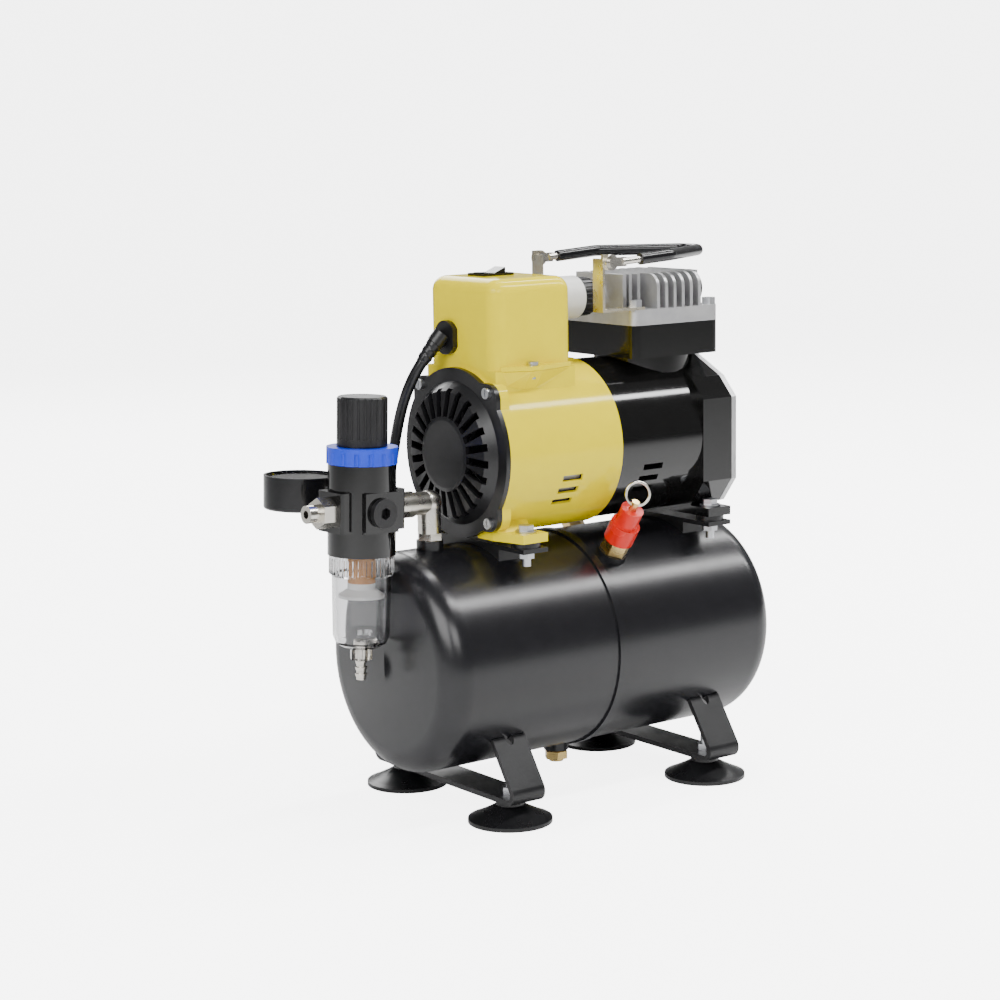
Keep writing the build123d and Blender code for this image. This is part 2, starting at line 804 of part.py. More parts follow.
def crankcase():
    """Round body turning into an eight-sided end, bearing wall at the motor side, foot lugs below."""
    body = bar_x(case_x0, case_block_x, 0, motor_z, case_r)
    body = body + across_x(block_outline(0), case_block_x - 6, case_x1)
    lug_x0 = rear_mount_x - saddle_width / 2
    lug_x1 = rear_mount_x + saddle_width / 2
    for side in (-1, 1):
        edges = sorted((side * 16, side * (mount_y + saddle_width / 2)))
        body = body + block(lug_x0, lug_x1, edges[0], edges[1], lug_z, lug_z + lug_thick)
        rib = Polygon(
            (side * 12, lug_z + lug_thick), (side * (mount_y - bolt_head_r - 2), lug_z + lug_thick),
            (side * rib_top_y, motor_z - 36), (side * 12, rib_z), align=None,
        )
        body = body + across_x(rib, lug_x0, lug_x1)
    inside = case_r - case_wall
    body = body - bar_x(case_x0 + 4, case_x1 + 1, 0, motor_z, inside)
    body = body + tube((case_x0, 0, motor_z), (case_x0 + bearing_w + 4, 0, motor_z), bearing_r + 3.5, bearing_r - 4)
    body = body - bar_x(case_x0 - 1, case_x0 + bearing_w + 6, 0, motor_z, shaft_r + 1)
    body = body - bar_x(case_x0 + 2, case_x0 + bearing_w + 6, 0, motor_z, bearing_r + seat_gap)
    body = body - bar_z(pump_x, 0, motor_z, motor_z + 60, bore_r + spigot_wall + seat_gap)
    for y, z in plate_screw_places():
        body = body - bar_x(case_x1 - 8, case_x1 + 1, y, z, screw_hole_r)
    for x, y in mount_points()[2:]:
        body = body - bar_z(x, y, lug_z - 1, lug_z + lug_thick + 1, bolt_r + run_gap)
    for cutter in vent_slots(case_vent_x, case_r):
        body = body - cutter
    return body


def crankcase_end_plate():
    plate = across_x(block_outline(0), case_x1, case_x1 + end_plate)
    for y, z in plate_screw_places():
        plate = plate - bar_x(case_x1 - 1, case_x1 + end_plate + 1, y, z, screw_hole_r)
    return plate


def crank_eccentric():
    """Hub that turns on the shaft's end here, with a counterweight below and the crank pin above."""
    x0 = crank_web_x
    x1 = crank_web_x + crank_web_w
    web = bar_x(x0, x1, 0, motor_z, crank_web_r)
    weight = bar_x(x0, x1, 0, motor_z, crank_web_r + 7) - block(x0 - 1, x1 + 1, -40, 40, motor_z - 4, motor_z + 60)
    pin = bar_x(x1, pump_x + bearing_w / 2, 0, motor_z + crank_throw, crank_pin_r)
    return web + weight + pin - bar_x(x0 - 1, x1 - 2, 0, motor_z, shaft_r + run_gap)


def connecting_rod():
    """Big-end ring, shank and piston disc in one piece, at the top of its stroke."""
    x0 = pump_x - rod_width / 2
    x1 = pump_x + rod_width / 2
    big = bar_x(x0, x1, 0, motor_z + crank_throw, rod_end_r)
    shank = block(x0, x1, -rod_shank / 2, rod_shank / 2, motor_z + crank_throw, piston_z0 + 1)
    disc = bar_z(pump_x, 0, piston_z0, piston_z0 + piston_thick, piston_r)
    return big + shank + disc - bar_x(x0 - 1, x1 + 1, 0, motor_z + crank_throw, bearing_r + seat_gap)


def piston_cup():
    """Thin sealing cup clamped on the piston, its lip against the bore."""
    top = piston_z0 + piston_thick
    points = [(0, top), (bore_r - seat_gap, top), (bore_r - seat_gap, top + cup_thick), (0, top + cup_thick)]
    return around_z(points, pump_x, 0)


def cylinder_block():
    """Square flange on a round barrel that saddles the crankcase, with a spigot inside it."""
    flange = square_plate(block_z0, block_z1)
    barrel = bar_z(pump_x, 0, motor_z, block_z0 + 1, barrel_r)
    saddle = bar_x(case_x0, case_block_x + 30, 0, motor_z, case_r + seat_gap)
    ends = across_x(block_outline(seat_gap), case_block_x - 6, case_x1 + end_plate + 1)
    barrel = barrel - saddle - ends
    spigot = bar_z(pump_x, 0, spigot_z0, block_z1, bore_r + spigot_wall)
    casting = flange + barrel + spigot - bar_z(pump_x, 0, motor_z, block_z1 + 1, bore_r)
    for x, y in head_bolt_places():
        casting = casting - bar_z(x, y, block_z0 + bolt_floor, block_z1 + 1, head_bolt_r + run_gap)
    edge = reed_x + reed_port_r + 2.5
    relief = block(pump_x + 2.5, pump_x + edge, -reed_half - 0.5, reed_half + 0.5, block_z1 - 1.0, block_z1 + 1)
    return casting - relief


def square_plate(z0, z1):
    outline = Pos(pump_x, 0) * RectangleRounded(2 * head_half, 2 * head_half, head_round)
    return raise_z(outline, z0, z1)


def head_bolt_places():
    out = head_half - head_bolt_inset
    return [(pump_x + sx * out, sy * out) for sx in (-1, 1) for sy in (-1, 1)]


def valve_plate():
    """Plate with a discharge port (-X) and an intake port (+X), and a thin reed over each."""
    plate = square_plate(plate_z0, head_z0)
    for x in (-reed_x, reed_x):
        plate = plate - bar_z(pump_x + x, 0, plate_z0 - 1, head_z0 + 1, reed_port_r)
    for x, y in head_bolt_places():
        plate = plate - bar_z(x, y, plate_z0 - 1, head_z0 + 1, head_bolt_r + run_gap)
    edge = reed_x + reed_port_r + 2
    discharge = block(pump_x - edge, pump_x - 3, -reed_half, reed_half, head_z0, head_z0 + reed_thick)
    intake = block(pump_x + 3, pump_x + edge, -reed_half, reed_half, plate_z0 - reed_thick, plate_z0)
    return [plate, discharge, intake]


def head_pocket(x, y):
    """Space cleared round a head bolt, open to the head's two nearest sides."""
    reach_x = pump_x + (head_half + 1) * (1 if x > pump_x else -1)
    reach_y = (head_half + 1) * (1 if y > 0 else -1)
    inner_x = x + pocket_wide if x < pump_x else x - pocket_small
    inner_y = y - (pocket_deep if y > 0 else -pocket_deep)
    x0, x1 = sorted((inner_x, reach_x))
    y0, y1 = sorted((inner_y, reach_y))
    return block(x0, x1, y0, y1, head_z1, head_top + 1)


def cylinder_head():
    """Finned head: base over two chambers, fins across X, three port bosses, pockets for the bolts."""
    head = square_plate(head_z0, head_z1)
    x0 = pump_x - head_half
    x1 = pump_x + head_half
    first_fin = x0 + fin_first
    last_fin = first_fin + (fin_count - 1) * fin_pitch + fin_thick
    head = head + block(x0 + fin_inset, last_fin, -core_half, core_half, head_z1 - 1, head_top - fin_drop)
    wall = Pos(0, (head_z1 - 1 + head_top) / 2) * Rectangle(2 * (head_half - fin_inset), head_top - head_z1 + 1)
    wall = fillet(wall.vertices().group_by(Axis.Y)[-1], fin_round)
    head = head + across_x(wall, x0 + fin_inset, x0 + fin_inset + head_wall)
    for k in range(fin_count):
        x = first_fin + k * fin_pitch
        head = head + across_x(wall, x, x + fin_thick)
    for x, y in head_bolt_places():
        head = head - head_pocket(x, y)
    head = head + bar_x(x0 - port_reach, x0 + 14, port_y, port_z, port_r)
    head = head + bar_x(x1 - 14, x1 + port_reach, intake_y, port_z, port_r - 2)
    head = head + rod((delivery_x, head_half - 14, port_z), (delivery_x, head_half + port_reach, port_z), port_r - 2)
    for x in (-chamber_mid, chamber_mid):
        middle = pump_x + x
        head = head - block(middle - chamber_half, middle + chamber_half, -14, 14, head_z0 - 1, head_z0 + chamber_h)
    head = head - bar_z(delivery_x, port_y, head_z0, port_z, port_bore_r)
    head = head - bar_x(x0 - port_reach - 1, delivery_x, port_y, port_z, port_bore_r)
    head = head - rod((delivery_x, port_y, port_z), (delivery_x, head_half + port_reach + 1, port_z), port_bore_r)
    head = head - bar_x(pump_x + chamber_mid, x1 + port_reach + 1, intake_y, port_z, port_bore_r)
    head = head - bar_z(pump_x + chamber_mid, intake_y - port_bore_r, head_z0, port_z, port_bore_r)
    for x, y in head_bolt_places():
        head = head - bar_z(x, y, head_z0 - 1, head_z1 + 1, head_bolt_r + run_gap)
    return head


def head_bolts():
    """Four long bolts through head and valve plate; the two under the handle sit on its brackets."""
    bolts = []
    for x, y in head_bolt_places():
        seat = head_z1 + (bracket_thick if x < pump_x else 0)
        head = hex_bar((x, y, seat), (x, y, seat + head_bolt_h), head_bolt_hex_r)
        bolts.append(head + bar_z(x, y, block_z0 + bolt_floor, seat, head_bolt_r))
    return bolts


def intake_filter():
    """Small round filter housing on the head's intake boss."""
    x0 = pump_x + head_half + port_reach
    points = [(x0, 0), (x0, intake_r - 3), (x0 + 3, intake_r), (x0 + intake_len - 1, intake_r),
              (x0 + intake_len, intake_r - 1), (x0 + intake_len, 0)]
    body = around_x(points, intake_y, port_z)
    body = body - bar_x(x0 - 1, x0 + intake_len - 3, intake_y, port_z, port_bore_r)
    for k in range(intake_holes):
        a = radians(360 * k / intake_holes)
        y = intake_y + 6.5 * cos(a)
        z = port_z + 6.5 * sin(a)
        body = body - bar_x(x0 + intake_len - 4, x0 + intake_len + 1, y, z, 1.3)
    return body


# ================================================================ pressure switch and delivery tube
def pressure_switch():
    """Round switch body between the head's port and the box, with its cable sleeve."""
    x1 = pump_x - head_half - port_reach - sensor_nut_len
    x0 = x1 - sensor_ring_len - sensor_len
    body = bar_x(x0, x1 - sensor_ring_len, port_y, port_z, sensor_r)
    ring = bar_x(x1 - sensor_ring_len, x1, port_y, port_z, sensor_r - 1)
    for k in range(sensor_flutes):
        a = radians(360 * k / sensor_flutes)
        ring = ring - bar_x(x1 - sensor_ring_len - 1, x1 + 1, port_y + (sensor_r - 0.6) * cos(a), port_z + (sensor_r - 0.6) * sin(a), 0.9)
    sleeve = bar_x(pad_x1, x0, port_y, port_z, sensor_sleeve_r)
    return body + ring + sleeve


def delivery_start():
    return (delivery_x, head_half + port_reach, port_z)


def delivery_tube():
    """Bent metal tube from the head's +Y boss down to the tank's inlet boss."""
    inlet = Vector(*on_tank(delivery_x, -inlet_angle, tank_r + inlet_boss_h))
    out = Vector(0, sin(radians(inlet_angle)), cos(radians(inlet_angle)))
    corner = inlet + out * ((delivery_y - inlet.Y) / out.Y)
    start = Vector(*delivery_start())
    turn = Vector(delivery_x, delivery_y, port_z)
    path = FilletPolyline(start, turn, corner, inlet, radius=delivery_bend)
    return sweep(Plane(origin=start, z_dir=(0, 1, 0)) * Circle(delivery_r), path=path)


def brass_nuts():
    """Pressure switch nut and the delivery tube's two union nuts."""
    x1 = pump_x - head_half - port_reach
    solids = [hex_bar((x1 - sensor_nut_len, port_y, port_z), (x1, port_y, port_z), sensor_nut_r)]
    start = Vector(*delivery_start())
    out = Vector(0, sin(radians(inlet_angle)), cos(radians(inlet_angle)))
    inlet = Vector(*on_tank(delivery_x, -inlet_angle, tank_r + inlet_boss_h))
    for seat, direction in ((start, Y_AXIS), (inlet, out)):
        end = seat + direction * tube_nut_len
        nut = hex_bar(tuple(seat), tuple(end), tube_nut_r)
        solids.append(nut - rod(tuple(seat - direction), tuple(end + direction), delivery_r + seat_gap))
    return solids


# ================================================================ handle
def handle_bracket(side):
    """Strip bolted on the head's corner, run out along -X, turned up, with an ear for the pivot pin."""
    bolt_x, bolt_y = head_bolt_places()[1 if side > 0 else 0]
    post_x = pivot_x - post_back
    y_out = side * pivot_y
    y_in = y_out - side * bracket_width
    foot_in = bolt_y - side * bracket_width / 2
    y0, y1 = sorted((foot_in, foot_in + side * bracket_width))
    foot = block(post_x, bolt_x + bracket_width / 2, y0, y1, head_z1, head_z1 + bracket_thick)
    y2, y3 = sorted((y_in, y_out + side * bracket_thick / 2))
    post = block(post_x, post_x + bracket_thick, y2, y3, head_z1, pivot_z + 2)
    link = block(post_x, pivot_x, y_out - bracket_thick / 2, y_out + bracket_thick / 2, pivot_z - eye_r, pivot_z + eye_r)
    eye = rod((pivot_x, y_out - bracket_thick / 2, pivot_z), (pivot_x, y_out + bracket_thick / 2, pivot_z), eye_r)
    bracket = foot + post + link + eye
    bracket = bracket - rod((pivot_x, y_out - 3, pivot_z), (pivot_x, y_out + 3, pivot_z), pin_r + run_gap)
    return bracket - bar_z(bolt_x, bolt_y, head_z1 - 1, head_z1 + bracket_thick + 1, head_bolt_r + run_gap)


def handle_pins():
    """Pivot rivets with a head on each end."""
    pins = []
    for side in (-1, 1):
        inner = side * (pivot_y - bracket_thick / 2)
        outer = side * (pivot_y + bracket_thick / 2 + eye_gap + eye_thick + eye_gap)
        shank = rod((pivot_x, inner, pivot_z), (pivot_x, outer, pivot_z), pin_r)
        head_in = rod((pivot_x, inner - side * pin_head_h, pivot_z), (pivot_x, inner, pivot_z), pin_r + 1.3)
        head_out = rod((pivot_x, outer, pivot_z), (pivot_x, outer + side * pin_head_h, pivot_z), pin_r + 1.3)
        pins.append(shank + head_in + head_out)
    return pins


def bail_y():
    """The wire's distance from the middle: its flattened eye lies just outside the bracket."""
    return pivot_y + bracket_thick / 2 + eye_gap + eye_thick / 2


def bail_path():
    """Centre line of the handle wire: two straight legs, then a blunt nose, in one flat loop."""
    y = bail_y()
    z1 = pivot_z + bail_rise
    points = [
        (pivot_x + wire_start, -y, pivot_z), (bail_bend_x, -y, z1), (bail_nose_x, -bail_nose_y, z1),
        (bail_nose_x, bail_nose_y, z1), (bail_bend_x, y, z1), (pivot_x + wire_start, y, pivot_z),
    ]
    return FilletPolyline(*points, radius=bail_bend_r)


def handle_bail():
    """Nickel wire with a flattened eye on each pivot."""
    path = bail_path()
    start = path @ 0
    bail = sweep(Plane(origin=start, z_dir=path % 0) * Circle(bail_r), path=path)
    for side in (-1, 1):
        y = side * bail_y()
        eye = rod((pivot_x, y - eye_thick / 2, pivot_z), (pivot_x, y + eye_thick / 2, pivot_z), eye_r)
        tang = block(pivot_x, pivot_x + eye_r + tang_len, y - eye_thick / 2, y + eye_thick / 2, pivot_z - tang_half, pivot_z + tang_half)
        bail = bail + eye + tang
    for side in (-1, 1):
        y = side * bail_y()
        bail = bail - rod((pivot_x, y - 3, pivot_z), (pivot_x, y + 3, pivot_z), pin_r + run_gap)
    return bail


def handle_grip():
    """Soft sleeve over the wire's loop."""
    path = bail_path()
    t0 = (grip_near_x - pivot_x - wire_start) / path.length
    t1 = (grip_far_x - pivot_x - wire_start) / path.length
    line = path.trim(t0, 1 - t1)
    frame = Plane(origin=line @ 0, z_dir=line % 0)
    return sweep(frame * (Circle(grip_r) - Circle(bail_r + seat_gap)), path=line)


# ================================================================ electrical box
def box_ears(z0, z1, reach):
    """Pointed screw ears on both sides, as flat plates."""
    ears = []
    for side in (-1, 1):
        outline = Polygon(
            (pad_x0 + 4, side * (pad_y - 4)), (pad_x0 + 4, side * pad_y), (ear_mid_x - 4, side * (pad_y + reach)),
            (ear_mid_x + 4, side * (pad_y + reach)), (pad_x1 - 3, side * pad_y), (pad_x1 - 3, side * (pad_y - 4)), align=None,
        )
        ears.append(raise_z(outline, z0, z1))
    return ears


def electrical_box():
    """Rounded cover over the switch, capacitor and wiring, open below, with two screw ears."""
    height = box_top - pad_z
    middle = ((pad_x0 + pad_x1) / 2, 0, pad_z)
    base = (Align.CENTER, Align.CENTER, Align.MIN)
    shell = Pos(*middle) * Box(pad_x1 - pad_x0, 2 * pad_y, height, align=base)
    shell = fillet(shell.edges().filter_by(Axis.Z), box_round)
    shell = fillet(shell.faces().sort_by(Axis.Z)[-1].edges(), box_round - 1)
    core = Pos(*middle) * Box(pad_x1 - pad_x0 - 2 * box_wall, 2 * (pad_y - box_wall), height - box_wall, align=base)
    core = fillet(core.edges().filter_by(Axis.Z), box_round - box_wall)
    core = fillet(core.faces().sort_by(Axis.Z)[-1].edges(), box_round - 1 - box_wall)
    for ear in box_ears(pad_z, pad_z + ear_plate, ear_reach):
        shell = shell + ear
    shell = shell - core - bar_x(pad_x0 - 1, pad_x1 + 1, 0, motor_z, motor_r + seat_gap)
    for y in (-ear_screw_y, ear_screw_y):
        shell = shell - bar_z(ear_mid_x, y, pad_z - 1, pad_z + ear_plate + 1, screw_r1 + run_gap)
    shell = shell - bar_x(pad_x0 - 1, pad_x0 + box_round, gland_y, gland_z, gland_hole_r + seat_gap)
    shell = shell - bar_x(pad_x1 - box_round, pad_x1 + 1, port_y, port_z, sensor_sleeve_r - 3)
    opening = Box(2 * (switch_body_x + seat_gap), 2 * (switch_body_y + seat_gap), 12)
    return shell - Pos(switch_x, switch_y, box_top) * opening


def switch_bezel():
    """Frame and body of the rocker switch, snapped into the box's top."""
    lip = Pos(switch_x, switch_y, box_top) * Box(2 * switch_lip_x, 2 * switch_lip_y, bezel_rise, align=(Align.CENTER, Align.CENTER, Align.MIN))
    body = Pos(switch_x, switch_y, box_top) * Box(2 * switch_body_x, 2 * switch_body_y, bezel_depth, align=(Align.CENTER, Align.CENTER, Align.MAX))
    well = Pos(switch_x, switch_y, box_top + bezel_rise + 1) * Box(2 * rocker_well_x, 2 * rocker_well_y, 11, align=(Align.CENTER, Align.CENTER, Align.MAX))
    reach = rocker_well_y + rocker_pin_len + run_gap
    pivot = rod((switch_x, switch_y - reach, rocker_z), (switch_x, switch_y + reach, rocker_z), rocker_pin_r + run_gap)
    return lip + body - well - pivot


def switch_rocker():
    """Rocker with two slanted faces, tilted so that its +X end stands up."""
    half = rocker_well_x - rocker_gap - 0.45
    outline = Polygon(
        (-half, 4.2), (0, 2.6), (half, 4.2), (half - 0.9, -0.9), (3, -4.4), (-3, -4.4), (-half + 0.9, -0.9), align=None,
    )
    width = rocker_well_y - rocker_gap
    prism = extrude(Plane.XZ * outline, width, both=True)
    reach = rocker_well_y + rocker_pin_len
    prism = prism + rod((0, -reach, 0), (0, reach, 0), rocker_pin_r)
    return Pos(switch_x, switch_y, rocker_z) * Rot(0, -rocker_tilt, 0) * prism


def run_capacitor():
    return rod((capacitor_x, -capacitor_len / 2, capacitor_z), (capacitor_x, capacitor_len / 2, capacitor_z), capacitor_r)


# ================================================================ cord
def cord_direction():
    return Vector(*cord_points[1]) - Vector(*cord_points[0])


def cord_gland():
    """Flat-sided bush in the box's wall with a short boot turned along the cord."""
    seat = (pad_x0, gland_y, gland_z)
    bush = bar_x(pad_x0 - gland_len, pad_x0, gland_y, gland_z, gland_r)
    bush = bush - block(pad_x0 - gland_len - 1, pad_x0 + 1, gland_y + gland_flat, gland_y + 20, gland_z - 20, gland_z + 20)
    bush = bush - block(pad_x0 - gland_len - 1, pad_x0 + 1, gland_y - 20, gland_y - gland_flat, gland_z - 20, gland_z + 20)
    neck = bar_x(pad_x0, pad_x0 + box_wall + 3, gland_y, gland_z, gland_hole_r)
    end = Vector(*cord_points[0])
    back = end - cord_direction().normalized() * boot_back
    boot = rod(tuple(back), tuple(end), boot_r)
    return bush + neck + boot - rod(seat, (pad_x0 + 9, gland_y, gland_z), cord_r)


def cord_radii():
    """One bend radius for each corner: 0.45 of the shorter run over the tangent of half the turn."""
    points = [Vector(*p) for p in cord_points]
    radii = []
    for a, b, c in zip(points, points[1:], points[2:]):
        turn = (b - a).get_angle(c - b)
        radii.append(0.45 * min((b - a).length, (c - b).length) / tan(radians(turn / 2)))
    return radii


def power_cord():
    path = FilletPolyline(*cord_points, radius=cord_radii())
    cord = sweep(Plane(origin=path @ 0, z_dir=path % 0) * Circle(cord_r), path=path)
    print("cord radii", [round(r) for r in cord_radii()])
    print("cord volume over section times length", round(cord.volume / (pi * cord_r ** 2 * path.length), 4))
    print("free cord length", round(path.length))
    return cord


def cord_coil():
    """Outer shape of the put-away turns: a flat ring on the ground."""
    r0 = coil_mid_r - coil_half_w
    r1 = coil_mid_r + coil_half_w
    edge = cord_r
    points = [(r0 + edge, 0), (r1 - edge, 0), (r1, edge), (r1, coil_height - edge), (r1 - edge, coil_height),
              (r0 + edge, coil_height), (r0, coil_height - edge), (r0, edge)]
    return around_z(points, coil_x, coil_y)


def power_plug():
    """Moulded two-pin plug lying beside the coil, its neck against the coil."""
    y = plug_y
    z = plug_r
    neck = rod((plug_x0, y, z), (plug_x0 + plug_neck_len, y, z), plug_neck_r)
    body = bar_x(plug_x0 + plug_neck_len, plug_x0 + plug_neck_len + plug_len, y, z, plug_r)
    plug = neck + body
    tip = plug_x0 + plug_neck_len + plug_len
    for side in (-1, 1):
        plug = plug + bar_x(tip, tip + plug_pin_len, y + side * plug_pin_gap / 2, z, plug_pin_r)
    return plug


# ================================================================ safety valve
def valve_out(distance):
    """A point on the safety valve's axis, measured from the boss's outer face."""
    return on_tank(valve_x, valve_angle, tank_r + valve_boss_h + distance)


def safety_valve():
    """Brass body, red sleeve over it, sprung stem through it."""
    shoulder = valve_hex_h
    top = shoulder + sleeve_h0 + sleeve_h1
    body = hex_bar(valve_out(0), valve_out(shoulder), valve_hex_r)
    body = body + rod(valve_out(shoulder), valve_out(top - sleeve_wall), sleeve_r1 - sleeve_wall)
    body = body + rod(valve_out(-valve_boss_h), valve_out(0), boss_bore_r - seat_gap)
    body = body - rod(valve_out(shoulder - 2), valve_out(top + 1), stem_r + run_gap)
    body = body - rod(valve_out(-valve_boss_h - 1), valve_out(shoulder - 4), 1.5)
    sleeve = rod(valve_out(shoulder), valve_out(shoulder + sleeve_h0), sleeve_r0)
    sleeve = sleeve + rod(valve_out(shoulder), valve_out(top), sleeve_r1)
    sleeve = sleeve - rod(valve_out(shoulder - 1), valve_out(top - sleeve_wall), sleeve_r1 - sleeve_wall + seat_gap)
    sleeve = sleeve - rod(valve_out(top - 3), valve_out(top + 1), stem_r + run_gap)
    stem = rod(valve_out(shoulder - 1.5), valve_out(top + stem_out), stem_r)
    hole = ring_hinge()
    across = ring_axis() * 6
    stem = stem - rod(tuple(hole - across), tuple(hole + across), ring_wire_r + ring_play)
    return body, sleeve, stem


def valve_axis():
    a = radians(valve_angle)
    return Vector(0, -sin(a), cos(a))


def ring_hinge():
    """Middle of the stem's cross hole."""
    return Vector(*valve_out(valve_hex_h + sleeve_h0 + sleeve_h1 + stem_out / 2))


def ring_axis():
    """Direction of the cross hole: square to the stem, turned towards the valve's open side."""
    rough = Vector(cos(radians(ring_turn)), -sin(radians(ring_turn)), 0)
    s = valve_axis()
    return (rough - s * rough.dot(s)).normalized()


def pull_ring():
    """Ring through the stem's cross hole, standing up from it."""
    h = ring_axis()
    rise = (Z_AXIS - h * Z_AXIS.dot(h)).normalized()
    centre = ring_hinge() + rise * (ring_r - ring_wire_r)
    plane = Plane(origin=centre, x_dir=h, z_dir=h.cross(rise))
    return plane * Torus(ring_r - ring_wire_r, ring_wire_r)


# ================================================================ filter regulator
def from_elbow(shape):
    """Turn and lean a piece of the regulator about the elbow's knee."""
    knee = Pos(outlet_x, 0, reg_axis_z)
    return knee * Rot(0, 0, reg_turn) * Rot(0, reg_lean, 0) * Pos(-outlet_x, 0, -reg_axis_z) * shape


def outlet_elbow():
    """Elbow standing on the tank's outlet boss, and the coupling that joins it to the regulator."""
    upright = bar_z(outlet_x, 0, elbow_z0 + elbow_hex_h, reg_axis_z, elbow_r)
    foot = hex_bar((outlet_x, 0, elbow_z0), (outlet_x, 0, elbow_z0 + elbow_hex_h), elbow_hex_r)
    thread = bar_z(outlet_x, 0, elbow_z0 - outlet_boss_h, elbow_z0, boss_bore_r - seat_gap)
    knee = Pos(outlet_x, 0, reg_axis_z) * Sphere(elbow_r + 0.6)
    arm_x = reg_x + reg_boss_reach + coupling_len
    arm = bar_x(arm_x, outlet_x, 0, reg_axis_z, elbow_r)
    elbow = upright + foot + thread + knee + from_elbow(arm)
    elbow = elbow - bar_z(outlet_x, 0, elbow_z0 - outlet_boss_h - 1, reg_axis_z, elbow_bore_r)
    elbow = elbow - from_elbow(bar_x(arm_x - 1, outlet_x, 0, reg_axis_z, elbow_bore_r))
    coupling = bar_x(reg_x + reg_boss_reach, arm_x, 0, reg_axis_z, coupling_r)
    coupling = coupling + bar_x(reg_x + reg_boss_reach - port_depth, arm_x, 0, reg_axis_z, reg_port_r - seat_gap)
    coupling = coupling - bar_x(reg_x, arm_x + 1, 0, reg_axis_z, elbow_bore_r)
    return [elbow, from_elbow(coupling)]


def regulator_body():
    """Cast body with four flat port bosses, bonnet bore above and filter seat below."""
    body = bar_z(reg_x, 0, reg_z0, reg_z1, reg_r)
    cross = Box(2 * reg_boss_reach, 2 * reg_boss_half, 2 * reg_boss_half)
    cross = cross + Box(2 * reg_boss_half, 2 * reg_side_reach, 2 * reg_boss_half)
    body = body + Pos(reg_x, 0, reg_axis_z) * fillet(cross.edges().filter_by(Axis.Z).group_by(lambda e: round(abs(e.center().X) + abs(e.center().Y), 3))[-1], 1.5)
    for direction, reach in ((X_AXIS, reg_boss_reach), (-X_AXIS, reg_boss_reach), (Y_AXIS, reg_side_reach), (-Y_AXIS, reg_side_reach)):
        middle = Vector(reg_x, 0, reg_axis_z)
        body = body - rod(tuple(middle + direction * (reach - port_depth)), tuple(middle + direction * (reach + 1)), reg_port_r)
        body = body - rod(tuple(middle), tuple(middle + direction * reach), elbow_bore_r)
    body = body - bar_z(reg_x, 0, spring_z0, reg_z1 + 1, spring_r + 3)
    body = body - bar_z(reg_x, 0, reg_z0 - 1, reg_z0 + 6, filter_r + 2)
    return body


def lock_ring():
    """Notched ring that clamps the bonnet; the knob's neck turns inside it."""
    ring = tube((reg_x, 0, reg_z1), (reg_x, 0, lock_z1), lock_r, knob_neck_r + run_gap)
    for k in range(lock_notches):
        a = radians(360 * k / lock_notches)
        ring = ring - bar_z(reg_x + (lock_r + 0.6) * cos(a), (lock_r + 0.6) * sin(a), reg_z1 - 1, lock_z1 - 2.5, 1.5)
    return ring


def adjusting_screw():
    """Spring button and spindle; the knob slides on the spindle and turns it."""
    button = bar_z(reg_x, 0, screw_z0, screw_z0 + 2.5, spring_r + 1.5)
    spindle = bar_z(reg_x, 0, screw_z0 + 2.5, knob_z1 - 5, screw_r)
    return button + spindle


def regulator_knob():
    """Fluted knob with a neck that turns in the lock ring and a bore over the spindle."""
    base = lock_z1 + knob_gap
    knob = bar_z(reg_x, 0, base, knob_z1, knob_r)
    top_edge = knob.edges().sort_by(Axis.Z)[-1]
    knob = chamfer(top_edge, 1.0)
    for k in range(knob_flutes):
        a = radians(360 * k / knob_flutes)
        knob = knob - bar_z(reg_x + (knob_r + 0.5) * cos(a), (knob_r + 0.5) * sin(a), base + 4, knob_z1 + 1, 0.9)
    neck = bar_z(reg_x, 0, screw_z0 + 4, base, knob_neck_r)
    return knob + neck - bar_z(reg_x, 0, screw_z0, knob_z1 - 4, screw_r + run_gap)


def regulator_spring():
    """Range spring between the body's seat and the spring button."""
    height = screw_z0 - spring_z0 - 2 * spring_wire_r
    coil = Helix(pitch=height / spring_turns, height=height, radius=spring_r)
    wire = sweep(Plane(origin=coil @ 0, z_dir=coil % 0) * Circle(spring_wire_r), path=coil, is_frenet=True)
    return Pos(reg_x, 0, spring_z0 + spring_wire_r + 0.02) * wire


def port_plug():
    """Round-headed plug with a hex socket in the -Y port."""
    face = -reg_side_reach
    head = rod((reg_x, face - plug_port_reach, reg_axis_z), (reg_x, face, reg_axis_z), plug_port_r)
    thread = rod((reg_x, face, reg_axis_z), (reg_x, face + port_depth - 1, reg_axis_z), reg_port_r - seat_gap)
    socket = hex_bar((reg_x, face - plug_port_reach - 1, reg_axis_z), (reg_x, face + 1, reg_axis_z), socket_r)
    return head + thread - socket


def outlet_fitting():
    """Nickel hose fitting in the -X port: thread, hexagon and a male outlet."""
    face = reg_x - reg_boss_reach
    tip = face - outlet_hex_len - outlet_thread_len
    hexagon = hex_bar((face - outlet_hex_len, 0, reg_axis_z), (face, 0, reg_axis_z), outlet_hex_r)
    thread = bar_x(face, face + port_depth - 1, 0, reg_axis_z, reg_port_r - seat_gap)
    male = bar_x(tip, face - outlet_hex_len, 0, reg_axis_z, outlet_thread_r)
    return hexagon + thread + male - bar_x(tip - 1, face + port_depth, 0, reg_axis_z, outlet_bore_r)


